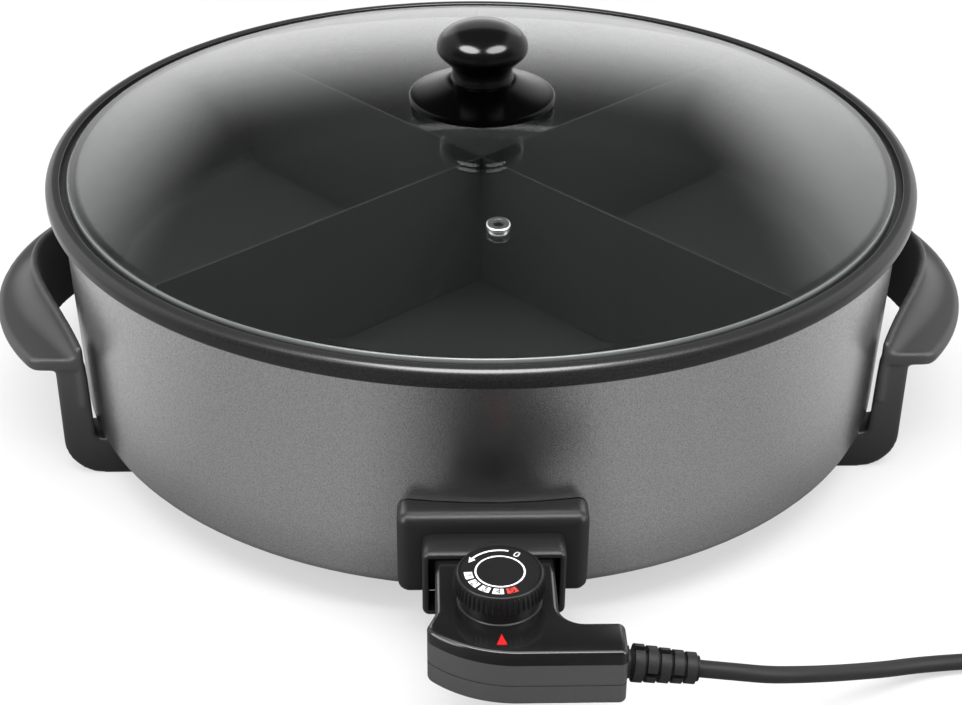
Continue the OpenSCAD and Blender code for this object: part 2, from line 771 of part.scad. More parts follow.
module vent_eyelet() {
    tube = vent_bore_r + 1.5;
    low = dome_z(vent_at + vent_flange_r) - 0.2;
    high = dome_z(vent_at - vent_flange_r) + glass_t + 0.2;
    lip = 1.3;
    color("gainsboro") on_axis() rotate(lid_turn) translate([0, -vent_at, 0]) rotate_extrude() polygon(concat(
        [[vent_bore_r, low - lip], [vent_flange_r - 1, low - lip], [vent_flange_r - 1, low], [tube, low]],
        [[tube, high], [vent_flange_r, high]],
        arc([vent_flange_r - lip, high], lip, 0, 90, 5),
        [[vent_bore_r + 0.6, high + lip], [vent_bore_r, high + lip - 0.6]]
    ));
}

module lid_knob() {
    waist = 3;
    ball = [for (i = [0 : 14]) let (a = 90 * i / 14) [knob_ball_r * cos(a), ball_z + knob_dome_h * sin(a)]];
    tuck = [for (i = [0 : 7]) let (t = i / 8, e = ease(t))
        [knob_neck_r + (knob_ball_r - knob_neck_r) * (e + sin(180 * t) * 0.12),
         ball_z - knob_tuck_h * (1 - t)]];
    color([0.05, 0.05, 0.05]) on_axis() difference() {
        rotate_extrude() polygon(concat(
            [[0, neck_z], [knob_neck_r + 0.6, neck_z], [knob_neck_r, neck_z + waist]], tuck, ball
        ));
        translate([0, 0, neck_z - 1])
            cylinder(r = knob_screw_r + hole_gap, h = knob_z + knob_screw_l - neck_z + 2);
    }
}

module knob_plate() {
    high = knob_z + knob_plate_t;
    slope = [for (i = [1 : 7]) let (t = i / 8)
        [knob_plate_r - 1 + (knob_neck_r + 1.4 - knob_plate_r) * t, high + knob_plate_rise * (0.75 * t + 0.25 * t * t)]];
    color([0.06, 0.06, 0.06]) on_axis() rotate_extrude() polygon(concat(
        [[knob_screw_r + hole_gap, knob_z], [knob_plate_r - 1, knob_z], [knob_plate_r, knob_z + 1]],
        [[knob_plate_r, high - 1], [knob_plate_r - 0.4, high - 0.3], [knob_plate_r - 1.2, high]],
        slope,
        [[knob_neck_r + 0.6, neck_z], [knob_screw_r + hole_gap, neck_z]]
    ));
}

module knob_gasket() {
    color("dimgray") on_axis() translate([0, 0, crest_z + glass_t]) difference() {
        cylinder(r = washer_r, h = knob_gasket_t);
        translate([0, 0, -1]) cylinder(r = knob_hole_r, h = knob_gasket_t + 2);
    }
}

module knob_washer() {
    color("silver") on_axis() translate([0, 0, washer_z]) difference() {
        cylinder(r = washer_r, h = washer_t);
        translate([0, 0, -1]) cylinder(r = knob_hole_r, h = washer_t + 2);
    }
}

module knob_screw() {
    color("silver") on_axis() {
        translate([0, 0, washer_z - screw_head_h]) cylinder(r1 = 4, r2 = 5, h = screw_head_h);
        translate([0, 0, washer_z - 1]) cylinder(r = knob_screw_r, h = knob_z + knob_screw_l - washer_z + 1);
    }
}

// Plan of the thermostat from the end of its nose, inset by d
function ctrl_plan(d) = let (
    back_round = 3,
    end_round = 3,
    centre = [cheek_end_x, cheek_arc - ctrl_len],
    arc_r = cheek_arc - d,
    start = 360 - acos((d - cheek_x - centre[0]) / arc_r)
) concat(
    arc([nose_half - back_round, -back_round], back_round - d, 0, 90, 5),
    arc([back_round - nose_half, -back_round], back_round - d, 90, 180, 5),
    [[d - nose_half, arm_back + 7], [d - cheek_x, arm_back - 1]],
    arc(centre, arc_r, start, 270, 24),
    arc([ctrl_arm_x - end_round, end_round - ctrl_len], end_round - d, 270, 360, 6),
    arc([ctrl_arm_x - end_round, arm_back - end_round], end_round - d, 0, 90, 6),
    arc([nose_half + ctrl_hollow, arm_back + ctrl_hollow], ctrl_hollow + d, 270, 180, 10)
);

// What both halves of the thermostat's housing leave free: nose opening and cord sleeve
module ctrl_openings() {
    open_w = 2 * (nose_half - ctrl_t);
    translate([-open_w / 2, -carrier_l - 2, ctrl_low + ctrl_t])
        cube([open_w, carrier_l + 3, ctrl_h - 2 * ctrl_t]);
    translate([ctrl_arm_x - 5, arm_mid, cord_z]) rotate([0, 90, 0])
        cylinder(r = relief_neck + hole_gap, h = 8);
}

module controller_top() {
    steps = round_steps(ctrl_round, 6);
    rings = concat(
        [at_height(ctrl_plan(0), seam_z)],
        [for (s = steps) at_height(ctrl_plan(s[0]), ctrl_top - ctrl_round + s[1])]
    );
    color([0.06, 0.06, 0.06]) on_nose() difference() {
        union() {
            difference() {
                skin(rings);
                translate([0, 0, seam_z - 1]) linear_extrude(ctrl_top - ctrl_t - seam_z + 1)
                    polygon(ctrl_plan(ctrl_t));
            }
            for (b = ctrl_bosses)
                translate([b[0], b[1], seam_z]) cylinder(r = boss_r, h = ctrl_top - ctrl_t - seam_z + 0.5);
            translate([dial_x, -dial_at, ctrl_top - 1]) cylinder(r = dial_seat_r, h = dial_seat_h + 1);
        }
        ctrl_openings();
        for (b = ctrl_bosses)
            translate([b[0], b[1], seam_z - 1]) cylinder(r = boss_screw_r + hole_gap, h = 8);
        translate([dial_x, -dial_at, seam_z]) cylinder(r = shaft_r + hole_gap, h = ctrl_h);
        translate([0, 0, ctrl_top - ctrl_t - 1]) linear_extrude(ctrl_t + 2) lens_outline(0);
    }
}

module controller_base() {
    steps = round_steps(1.5, 3);
    rings = concat(
        [for (i = [len(steps) - 1 : -1 : 0]) at_height(ctrl_plan(steps[i][0]), ctrl_low + 1.5 - steps[i][1])],
        [at_height(ctrl_plan(0), seam_z)]
    );
    color([0.15, 0.15, 0.15]) on_nose() difference() {
        union() {
            difference() {
                skin(rings);
                translate([0, 0, ctrl_low + ctrl_t]) linear_extrude(ctrl_h) polygon(ctrl_plan(ctrl_t));
            }
            for (b = ctrl_bosses)
                translate([b[0], b[1], ctrl_low + 1]) cylinder(r = boss_r, h = ctrl_seam - 1);
            for (sy = [-1, 1])
                translate([38, arm_mid + sy * 5.4, ctrl_low + 1]) cylinder(r = 1.6, h = cord_z - cord_r - ctrl_low - 1);
            translate([dial_x, lens_y - lens_l / 2, ctrl_low + 1])
                cylinder(r = 2, h = ctrl_top - ctrl_t - lens_drop - 2 * lamp_r - ctrl_low - 1);
        }
        ctrl_openings();
        for (b = ctrl_bosses) translate([b[0], b[1], 0]) {
            translate([0, 0, ctrl_low - 1]) cylinder(r = boss_head_r + hole_gap, h = 1 + ctrl_t + 1);
            cylinder(r = boss_screw_r + hole_gap, h = seam_z + 1);
        }
    }
}

module controller_screws() {
    color("silver") on_nose() for (b = ctrl_bosses)
        translate([b[0], b[1], ctrl_low + ctrl_t + 1 - boss_head_h]) {
            cylinder(r = boss_head_r, h = boss_head_h);
            cylinder(r = boss_screw_r, h = ctrl_seam + boss_bite);
        }
}

module contact_carrier() {
    w = 2 * (nose_half - ctrl_t - hole_gap);
    color("wheat") on_nose() difference() {
        translate([-w / 2, -carrier_l, ctrl_low + ctrl_t + hole_gap])
            cube([w, carrier_l, ctrl_h - 2 * (ctrl_t + hole_gap)]);
        for (sx = [-1, 1])
            rod_y(sx * pin_x, pin_z, pin_r + slide_gap + sleeve_t + hole_gap, -carrier_l - 1, 1);
        rod_y(0, probe_z, probe_r + hole_gap, -carrier_l - 1, 1);
    }
}

module contact_sleeves() {
    color("gold") on_nose() for (sx = [-1, 1]) difference() {
        rod_y(sx * pin_x, pin_z, pin_r + slide_gap + sleeve_t, -nose_in - 8, -0.5);
        rod_y(sx * pin_x, pin_z, pin_r + slide_gap, -nose_in - 9, 1);
    }
}

module probe_tube() {
    color("silver") on_nose() {
        rod_y(0, probe_z, probe_r, -carrier_l - 4, probe_out - 2);
        translate([0, probe_out - 2, probe_z]) rotate([-90, 0, 0]) cylinder(r1 = probe_r, r2 = probe_r - 1.6, h = 2);
    }
}

module switch_frame() {
    w = 18;
    t = 1.5;
    z = ctrl_top - ctrl_t - t;
    y0 = -dial_at - 9;
    y1 = -carrier_l - 4.5;
    color("silver") on_nose() difference() {
        union() {
            translate([-w / 2, y0, z]) cube([w, y1 - y0, t]);
            translate([-w / 2, y1 - t, probe_z - probe_r]) cube([w, t, z - probe_z + probe_r]);
        }
        translate([dial_x, -dial_at, z - 1]) cylinder(r = shaft_r + slide_gap, h = t + 2);
        rod_y(0, probe_z, probe_r + hole_gap, y1 - t - 1, y1 + 1);
    }
}

module switch_leaves() {
    low = ctrl_low + ctrl_t;
    y0 = -dial_at - 9;
    color("goldenrod") on_nose() for (sx = [-1, 1]) translate([sx * 6 - 2, y0, low]) {
        cube([4, 4, 6]);
        translate([0, 0, 5.4]) cube([4, 26, 0.6]);
        translate([2, 23, 5.8]) cylinder(r = 1.6, h = 1.4);
    }
}

// Plan of the red lens, a triangle that points to the dial
module lens_outline(gap) {
    w = lens_w / 2 - gap;
    translate([dial_x, lens_y])
        polygon([[-w, gap - lens_l], [w, gap - lens_l], [0, -2 * gap]]);
}

module pilot_lens() {
    color("red") on_nose() translate([0, 0, ctrl_top - ctrl_t - lens_drop])
        linear_extrude(ctrl_t + lens_drop + 0.3) lens_outline(hole_gap);
}

module pilot_lamp() {
    color("orange") on_nose()
        translate([dial_x - 6, lens_y - lens_l / 2, ctrl_top - ctrl_t - lens_drop - lamp_r]) rotate([0, 90, 0])
            cylinder(r = lamp_r, h = 12);
}

module cord_clamp() {
    color("wheat") on_nose() translate([34, arm_mid - 7, cord_z - cord_r]) difference() {
        cube([8, 14, cord_d + 1.6]);
        translate([-1, 7, cord_r]) rotate([0, 90, 0]) cylinder(r = cord_r + hole_gap, h = 10);
        translate([-1, 7 - cord_r - hole_gap, -1]) cube([10, cord_d + 2 * hole_gap, cord_r + 1]);
    }
}

module dial_knob() {
    count = dial_ribs * 4;
    mid_r = dial_r - dial_rib_d / 2;
    outline = [for (i = [0 : count - 1]) let (a = 360 * i / count)
        (mid_r + dial_rib_d / 2 * cos(dial_ribs * a)) * [cos(a), sin(a)]];
    bevel = 2;
    color([0.05, 0.05, 0.05]) on_nose() translate([dial_x, -dial_at, 0]) difference() {
        intersection() {
            translate([0, 0, dial_low]) linear_extrude(dial_h) polygon(outline);
            translate([0, 0, dial_low]) rotate_extrude() polygon([
                [0, 0], [dial_r - 1.2, 0], [dial_r + 1, 1.2], [dial_r + 1, dial_h - bevel],
                [dial_face_r + 0.4, dial_h], [0, dial_h]
            ]);
        }
        translate([0, 0, dial_top - dial_recess]) cylinder(r = dial_face_r + hole_gap, h = 2);
        translate([0, 0, dial_low - 1]) cylinder(r = shaft_r + hole_gap, h = dial_h - 2);
    }
}

module dial_face() {
    color("black") on_nose() translate([dial_x, -dial_at, dial_top - dial_recess])
        cylinder(r = dial_face_r, h = 0.4);
}

module dial_shaft() {
    color("silver") on_nose() translate([dial_x, -dial_at, ctrl_low + ctrl_t + 9])
        cylinder(r = shaft_r, h = dial_top - 3.2 - ctrl_low - ctrl_t - 9);
}

// A collar behind the wall, and outside it a sleeve with ribs that droops a little
module strain_relief() {
    rib_l = (relief_l - relief_start) / (relief_ribs + 0.25);
    rib_d = 1.6;
    end_r = cord_r + 2.4;
    behind = -ctrl_t - hole_gap;
    color([0.13, 0.13, 0.13]) on_nose() translate([ctrl_arm_x, arm_mid, cord_z]) {
        rotate([0, 90, 0]) rotate_extrude() polygon([
            [0, -7], [cord_r, -7], [cord_r, behind - 1.6], [relief_collar, behind - 1.6], [relief_collar, behind],
            [relief_neck, behind], [relief_neck, relief_start], [0, relief_start]
        ]);
        rotate([0, 90 + relief_tilt, 0]) difference() {
            rotate_extrude() polygon(concat(
                [[0, 0], [relief_neck - 1.5, 0], [relief_neck - 1.5, relief_start]],
                [for (i = [0 : relief_ribs - 1], k = [0 : 3]) let (
                    x = relief_start + rib_l * i,
                    r = relief_r + (end_r - relief_r) * i / relief_ribs
                ) [k == 0 || k == 3 ? r - rib_d : r, x + (k < 2 ? 0.25 : 1) * rib_l]],
                [[end_r - 0.8, relief_l], [0, relief_l]]
            ));
            for (i = [0 : relief_ribs - 2], s = [0, 180])
                rotate(s + 90 * (i % 2)) translate([relief_r - 2 * rib_d, -1.2, relief_start + rib_l * (i + 0.2)])
                    cube([6, 2.4, rib_l * 1.1]);
        }
    }
}

module cord_run() {
    color([0.14, 0.14, 0.14]) skin(tube_rings(cord_route, cord_r, 10));
}

// Path of the coil: it winds in on the table, climbs while it turns back, winds out above and leaves for the plug
half_turn = coil_turns * 180;
coil_inner = coil_r - coil_step * half_turn / 360;
function coil_radius(t) = coil_inner + coil_step * abs(t - half_turn) / 360;
function coil_height(t) = coil_z + coil_step * ease((t - half_turn + 90) / 180);
coil_count = round(coil_turns * coil_rings);
coil_loops = [for (i = [0 : coil_count]) let (t = 360 * i / coil_rings, a = t - 90)
    [coil_at[0] + coil_radius(t) * cos(a), coil_at[1] + coil_radius(t) * sin(a), coil_height(t)]];
coil_out = [for (i = [1 : 6]) let (s = i / 6)
    [plug_at[0], coil_at[1] + coil_lead * s, coil_z + coil_step + (plug_at[2] - coil_z - coil_step) * ease(s)]];
coil_path = concat([[cord_route[len(cord_route) - 1][0], coil_at[1] - coil_r, coil_z]], coil_loops, coil_out, [plug_at]);
coil_gap = min([for (i = [0 : coil_count], j = [i + 12 : 1 : len(coil_path) - 1])
    norm(coil_path[i] - coil_path[j])]) - cord_d;
echo("least gap between the coil's turns", coil_gap);

module cord_coil() {
    color([0.14, 0.14, 0.14]) skin(tube_rings(coil_path, cord_r, coil_sides));
}

// A flat strap round all turns at the back of the coil
module coil_tie() {
    back = [for (t = [180 : 360 : coil_turns * 360]) coil_radius(t)];
    from = min(back) - cord_r - side_gap;
    to = max(back) + cord_r + side_gap;
    high = coil_z + coil_step + cord_r + side_gap;
    color("black") translate([coil_at[0] - tie_w / 2, coil_at[1], 0]) difference() {
        translate([0, from - tie_t, 0]) cube([tie_w, to - from + 2 * tie_t, high + tie_t]);
        translate([-1, from, tie_t]) cube([tie_w + 2, to - from, high - tie_t]);
    }
}

module plug_body() {
    small_r = cord_r + 1.2;
    shoulder = 9;
    groove_w = 5;
    color([0.1, 0.1, 0.1]) translate(plug_at) rotate([-90, 0, 0]) difference() {
        rotate_extrude() polygon(concat(
            [[0, 0], [small_r, 0], [cord_r + 4.6, plug_sleeve_l]],
            arc([plug_r - shoulder, plug_sleeve_l + shoulder], shoulder, -70, 0, 6),
            [[plug_r, plug_sleeve_l + plug_l - 1], [plug_r - 1, plug_sleeve_l + plug_l], [0, plug_sleeve_l + plug_l]]
        ));
        for (s = [0, 180]) rotate(s)
            translate([-groove_w / 2, plug_r - 2.5, plug_sleeve_l + 14]) cube([groove_w, 5, plug_l]);
        for (sx = [-1, 1])
            translate([sx * plug_pin_x, 0, plug_sleeve_l + plug_l - 6]) cylinder(r = plug_root_r + hole_gap, h = 8);
    }
}

module plug_pins() {
    color("silver") translate([plug_at[0], plug_face_y, plug_at[2]]) rotate([-90, 0, 0])
        for (sx = [-1, 1]) translate([sx * plug_pin_x, 0, 0]) {
            translate([0, 0, -6]) cylinder(r = plug_root_r, h = 7);
            cylinder(r = plug_pin_r, h = plug_pin_l - plug_tip);
            translate([0, 0, plug_pin_l - plug_tip]) cylinder(r1 = plug_pin_r, r2 = plug_pin_r - 1, h = plug_tip);
        }
}

module plug_earth() {
    color("silver") translate(plug_at) rotate([-90, 0, 0]) for (s = [0, 180]) rotate(s)
        translate([-2, plug_r - 2.5, plug_sleeve_l + 14.5]) cube([4, 1.2, plug_l - 14.5]);
}

housing_shell();
cooking_pan();
base_plate();
base_screws();
heating_element();
element_clamps();
probe_block();
terminal_pins();
terminal_block();
socket_frame();
socket_tunnel();
socket_screws();
handle_left();
handle_right();
handle_screws();
handle_nuts();
divider_long();
divider_cross();
lid_glass();
lid_knob();
knob_plate();
knob_gasket();
knob_washer();
knob_screw();
vent_eyelet();
controller_top();
controller_base();
controller_screws();
contact_carrier();
contact_sleeves();
probe_tube();
switch_frame();
switch_leaves();
pilot_lens();
pilot_lamp();
cord_clamp();
dial_knob();
dial_face();
dial_shaft();
strain_relief();
cord_run();
cord_coil();
coil_tie();
plug_body();
plug_pins();
plug_earth();
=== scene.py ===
import json
import math

import bmesh
import bpy
from mathutils import Euler, Matrix, Vector

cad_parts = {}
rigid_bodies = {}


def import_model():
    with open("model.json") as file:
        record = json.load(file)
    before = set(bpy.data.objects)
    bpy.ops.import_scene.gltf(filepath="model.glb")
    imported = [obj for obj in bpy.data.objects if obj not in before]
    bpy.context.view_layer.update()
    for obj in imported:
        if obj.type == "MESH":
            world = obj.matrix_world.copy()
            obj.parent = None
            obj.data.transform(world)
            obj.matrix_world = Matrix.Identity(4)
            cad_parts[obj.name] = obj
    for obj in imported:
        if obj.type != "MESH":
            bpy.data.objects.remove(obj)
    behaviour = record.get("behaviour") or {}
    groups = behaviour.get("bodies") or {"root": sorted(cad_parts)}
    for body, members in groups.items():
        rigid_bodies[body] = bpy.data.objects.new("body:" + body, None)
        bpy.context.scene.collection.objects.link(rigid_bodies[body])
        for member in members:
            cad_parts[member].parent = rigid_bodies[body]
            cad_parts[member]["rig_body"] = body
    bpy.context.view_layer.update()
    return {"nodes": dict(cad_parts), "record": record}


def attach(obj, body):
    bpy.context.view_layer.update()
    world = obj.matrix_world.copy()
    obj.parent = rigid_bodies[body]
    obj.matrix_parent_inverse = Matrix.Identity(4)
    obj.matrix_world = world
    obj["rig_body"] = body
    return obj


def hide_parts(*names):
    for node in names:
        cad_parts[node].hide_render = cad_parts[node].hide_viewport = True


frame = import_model()

NODES = frame["nodes"]
SLOTS = {s["node"]: s["material_slot"] for s in frame["record"]["subparts"]}
SCENE = bpy.context.scene
MM = 0.001
PAN_Y = 0.037013  # the pan's axis lies this far behind the origin, in metres

# Sizes of the object in millimetres: heights from the ground, radii from a piece's own axis

# Housing and pan
HOUSING_R, HOUSING_MID, FOOT_R = 203.5, 201.89, 200.7
RIM_Z, RIM_TOP, RIM_R = 128, 136, 210
RIM_LOW_EDGE, RIM_TOP_EDGE, RIM_INNER_EDGE = 1.5, 4, 0.8
LEDGE_Z, LEDGE_R, LEDGE_EDGE = 132, 203, 0.6
PAN_R, PAN_T, PAN_FOOT_R, PAN_CORNER, PAN_UNDER, PAN_FLOOR = 199.3, 3, 191.3, 12, 60, 63

# Facets of the turned pieces, and angles in degrees from which an edge stays sharp
WIDE_FACETS, FINE_FACETS, ROUND_FACETS, VENT_FACETS, BORE_FACETS = 256, 160, 128, 64, 48
POLISH_ANGLE, BEVEL_ANGLE, MOULD_ANGLE = 32, 30, 40
WELD = 2e-6  # in metres

# Small bevels of the inlet and of the sleeve round the cord
SOFT_EDGES = {"socket_frame": 0.6, "socket_tunnel": 0.6, "strain_relief": 0.35}

# Lid, and the ground edge as a thin skin round the glass
LID_R, LID_T, LID_RISE, LID_BORE, CREST = 200, 4, 25.5, 3.5, 157.29
DOME_R = (LID_R ** 2 + LID_RISE ** 2) / (2 * LID_RISE)
GROUND_R, GROUND_T = 2.1, 0.09

# Knob, with the plate and gasket under it
GASKET_T = 1
PLATE_Z = CREST + LID_T + GASKET_T
PLATE_R, PLATE_EDGE, PLATE_RISE, PLATE_BORE = 35.3, 3.4, 8, 2.6
PLATE_LOW_EDGE, PLATE_TOP_EDGE, PLATE_SLOPE = 1, 1.2, 18.1
NECK_Z = PLATE_Z + PLATE_EDGE + PLATE_RISE
NECK_R, NECK_FOOT_R, NECK_H = 14.6, 15.2, 5
NECK_FLARE = [(NECK_FOOT_R, 0), (14.8, 1.6), (NECK_R, 3)]
KNOB_R, KNOB_TUCK, KNOB_DOME, KNOB_SWELL = 21.8, 10.7, 12.2, 0.12
BALL_Z = NECK_Z + NECK_H + KNOB_TUCK

# Steam vent, from the pan's axis. Its turned profiles, the lip as arcs, start from the glass's underside
VENT_R, VENT_AT = 116, (4.05, -115.93)
VENT_SHANK = [(2.4, -1.4), (4.6, -1.4), (4.6, -0.1), (3.9, -0.1), (3.9, 4.1), (4.9, 4.1)]
VENT_LIP = [(4.5, 4.9, 0.8, -60, 90, 10), (3.3, 4.8, 0.9, 90, 180, 6)]
# A dark lining of the bore, which paints the shade of the hole
VENT_THROAT = [(2.1, -1.5), (2.39, -1.5), (2.39, 4.7), (2.95, 5.72), (2.8, 5.78), (2.1, 4.8)]

# Handles, each a guard and grip with two legs, and the arms under the housing
HANDLE_HALF, HANDLE_END, HANDLE_INSET = 82, 2.5, 2
GUARD_GAP, GUARD_BOW, GUARD_T, GUARD_EDGE = 5.3, 8.1, 4, 1.5
GUARD_LOW, GUARD_TOP, GUARD_DROP = 38, 83, 11.5
GRIP_LOW, GRIP_HIGH, GRIP_NOSE, GRIP_SWEEP = 59, 66, 2.5, 12
GRIP_X, GRIP_R, GRIP_CORNER, GRIP_CORNER_Y = 112.3, 130, 10, 72
LEG_Y, LEG_HALF, LEG_IN, LEG_OUT, LEG_TOP, LEG_CORNER = 70, 10, 173, 203, 61.5, 18
ARM_T, ARM_END, ARM_GAP, ARM_SCREW_IN = 20, 12, 2.5, 16.5
BORE_R, BORE_DEPTH = 5.1, 8
EDGE_ROOM, SWEEP_ROOM = 0.1, 0.3
# Height over which the handles' painted shade near the floor fades out
LEG_SHADE_Z = 60
HANDLE_STEPS, HANDLE_VOXEL = 48, 1.1
# Mask of the side that faces the housing, where the handles' colour paints shade
OUTER_SIDE, FACING_FROM, FACING_SPAN = "outer_side", -0.7, 0.5

# Thermostat, in plan from the end of its nose
CTRL_LOW, SEAM_Z, CAP_Z, CTRL_TOP, CTRL_LEN = 31, 40.5, 50.6, 56.5, 70
CAP_BLUR = 0.1
CTRL_TOP_EDGE, CTRL_LOW_EDGE, SEAM_GROOVE = 2.4, 1.5, 0.35
NOSE_Y, NOSE_HALF, NOSE_WALL = -177.013, 24.3, 2.2
CTRL_CORNER = 3
BODY_LEFT, LEFT_FLANK = 27.5, ((0, 9), (0, 7), (1.6, 3), (3.2, -1))
FRONT_X, FRONT_R, FRONT_CORNER = 8, 50, 5
SHOULDER_RIGHT, SHOULDER_DEPTH, SHOULDER_FILLET = 49.5, 19, 10

# Dial, and its printed marks by radius and angle
DIAL_X, DIAL_BACK, DIAL_LOW, DIAL_TOP, DIAL_FACE = 1.2, 37, 62.5, 70.7, 70.5
DIAL_AT = Vector((DIAL_X * MM, (NOSE_Y - DIAL_BACK) * MM, 0))
SEAT_R, DIAL_WELL_R, DIAL_WELL = 16.9, 15.65, 0.5
RIB_COUNT = 54
RIB_SECTION = ((17.4, -0.62), (18.3, -0.5), (18.7, 0), (18.3, 0.5), (17.4, 0.62))
RIB_LEVELS = ((DIAL_LOW + 0.3, 0.6), (DIAL_LOW + 0.9, 0), (DIAL_TOP - 1.8, 0.6), (DIAL_TOP - 1.1, 1.4))
RING, ARC_LINE, STEP_BOX = (9.3, 10.0), (13.1, 13.9), (11, 14.2)
ARC_LINE_ANGLES, ARC_LINE_SPAN = (74, 85.5, 97, 108.5, 120, 131.5), 11.5
ARROW_HEAD = ((12.0, 142), (15.0, 142), (13.5, 155))
STEP_ANGLES, STEP_HALF = [191 + 24.6 * i for i in range(5)], 9.5
OFF_R, OFF_ANGLE, OFF_SIZE, STEP_R, STEP_SIZE, STROKE = 12.8, 57, 1.7, 12.6, 1.5, 0.3
MARK_LIFT, NUMBER_LIFT = 0.03, 0.06

# Strokes of the digits, in boxes 1 wide and 1.6 high
STROKES = {
    0: [(0.25, 0), (0.75, 0), (1, 0.4), (1, 1.2), (0.75, 1.6), (0.25, 1.6), (0, 1.2), (0, 0.4), (0.25, 0)],
    1: [(0.2, 1.25), (0.6, 1.6), (0.6, 0)],
    2: [(0, 1.3), (0.3, 1.6), (0.75, 1.6), (1, 1.3), (1, 1), (0, 0), (1, 0)],
    3: [(0, 1.6), (0.9, 1.6), (0.45, 1), (0.8, 0.9), (1, 0.6), (1, 0.3), (0.7, 0), (0.25, 0), (0, 0.25)],
    4: [(0.75, 0), (0.75, 1.6), (0, 0.5), (1, 0.5)],
    5: [(0.95, 1.6), (0.1, 1.6), (0.05, 0.9), (0.6, 1), (1, 0.7), (1, 0.3), (0.7, 0), (0.2, 0), (0, 0.2)],
}

# Cord: the route of its free length, and the coil behind it
CORD_R = 3.5
ROUTE = [
    (77.76, -237.51, 40.28), (92, -237.5, 38.4), (106, -235.5, 35), (120, -230, 30), (134, -222, 23.4),
    (148, -213.5, 16.8), (162, -206, 11.4), (176, -199.5, 7.5), (190, -195.5, 5.3), (204, -193.7, 4.6),
    (219, -193.5, 4.6), (235, -193.5, 4.6), (251, -193.5, 4.6), (268, -193.5, 4.6),
]
COIL_AT = (275, -148)
COIL_R, COIL_STEP, COIL_TURNS, COIL_Z = 45.5, 7.5, 4.25, 4.6
COIL_LEAD, PLUG_Z = 40, 18.5
ROUTE_STEPS, TURN_STEPS, LEAD_STEPS = 4, 48, 12

# Camera in metres and degrees, fitted to the rim's ellipse in the photograph
CAMERA_AT = (-0.0242, -0.7777, 0.5096)
CAMERA_DOWN, CAMERA_YAW, CAMERA_ROLL = 31.03, -1.744, 0.51
CAMERA_LENS, SENSOR_W = 67.99, 36

# Lamps aim at these points, in metres
BODY_AIM, KNOB_AIM, RIM_AIM = (0, PAN_Y, 0.08), (0, PAN_Y, 0.19), (0, -0.17, 0.134)
FRONT_AIM, GROUND_AIM = (0, -0.24, 0.05), (0, -0.35, 0)
FLOOR_HALF = 6.0


# Plane figures and curves


def ease(t):
    t = min(max(t, 0.0), 1.0)
    return t * t * (3 - 2 * t)


def polar(r, a):
    """A point at a radius and an angle in degrees."""
    return r * math.cos(math.radians(a)), r * math.sin(math.radians(a))


def arc(cx, cy, r, start, end, steps):
    """Points on an arc in a plane, angles in degrees."""
    turns = [polar(r, start + (end - start) * i / steps) for i in range(steps + 1)]
    return [(cx + x, cy + y) for x, y in turns]


def sector(radii, start, end, steps=8):
    """Outline of a piece of a ring."""
    return arc(0, 0, radii[0], start, end, steps) + arc(0, 0, radii[1], end, start, steps)


def spline(points, per):
    """Points on a smooth curve through the given ones."""
    p = [Vector(q) for q in points]
    p = [2 * p[0] - p[1]] + p + [2 * p[-1] - p[-2]]
    out = []
    for i in range(1, len(p) - 2):
        for k in range(per):
            t = k / per
            a, b, c, d = p[i - 1], p[i], p[i + 1], p[i + 2]
            out.append(
                0.5 * (2 * b + (c - a) * t + (2 * a - 5 * b + 4 * c - d) * t * t
                       + (3 * b - a - 3 * c + d) * t ** 3)
            )
    out.append(p[-2])
    return out


# Meshes


def link(obj):
    SCENE.collection.objects.link(obj)
    return obj


def shade(me, angle):
    me.shade_smooth()
    me.set_sharp_from_angle(angle=math.radians(angle))


def mesh_object(name, verts, faces, angle=35):
    me = bpy.data.meshes.new(name)
    me.from_pydata([tuple(v) for v in verts], [], faces)
    me.update()
    shade(me, angle)
    return link(bpy.data.objects.new(name, me))


def outward(obj):
    """Turns all faces of a closed mesh outward."""
    bm = bmesh.new()
    bm.from_mesh(obj.data)
    bmesh.ops.recalc_face_normals(bm, faces=bm.faces)
    bm.to_mesh(obj.data)
    bm.free()
    return obj


def lathe(name, profile, count, at=(0.0, PAN_Y), closed=False, angle=35):
    """Turns a profile of (radius, height) in millimetres about a vertical axis."""
    verts, rows, faces = [], [], []
    for r, z in profile:
        if r < 1e-6:
            rows.append([len(verts)] * count)
            verts.append((at[0], at[1], z * MM))
            continue
        rows.append(list(range(len(verts), len(verts) + count)))
        for k in range(count):
            a = 2 * math.pi * k / count
            verts.append((at[0] + r * MM * math.cos(a), at[1] + r * MM * math.sin(a), z * MM))
    pairs = list(zip(rows, rows[1:]))
    if closed:
        pairs.append((rows[-1], rows[0]))
    for low, high in pairs:
        for k in range(count):
            j = (k + 1) % count
            ring = [low[k], low[j], high[j], high[k]]
            ring = [v for i, v in enumerate(ring) if v != ring[i - 1]]
            if len(ring) > 2:
                faces.append(ring)
    return outward(mesh_object(name, verts, faces, angle))


def loft(name, rings, angle=35):
    """Closes a solid over rings of equal counts of points, in millimetres."""
    n = len(rings[0])
    verts = [Vector(v) * MM for ring in rings for v in ring]
    faces = [list(range(n)), list(range(len(verts) - n, len(verts)))]
    for k in range(len(rings) - 1):
        for i in range(n):
            j = (i + 1) % n
            faces.append([k * n + i, k * n + j, (k + 1) * n + j, (k + 1) * n + i])
    return outward(mesh_object(name, verts, faces, angle))


def evaluated(obj, *modifiers):
    """Runs modifiers, given as (kind, settings), into the mesh."""
    for kind, settings in modifiers:
        mod = obj.modifiers.new(kind.lower(), kind)
        for key, value in settings.items():
            setattr(mod, key, value)
    bpy.context.view_layer.update()
    me = bpy.data.meshes.new_from_object(obj.evaluated_get(bpy.context.evaluated_depsgraph_get()))
    obj.modifiers.clear()
    obj.data = me
    return obj


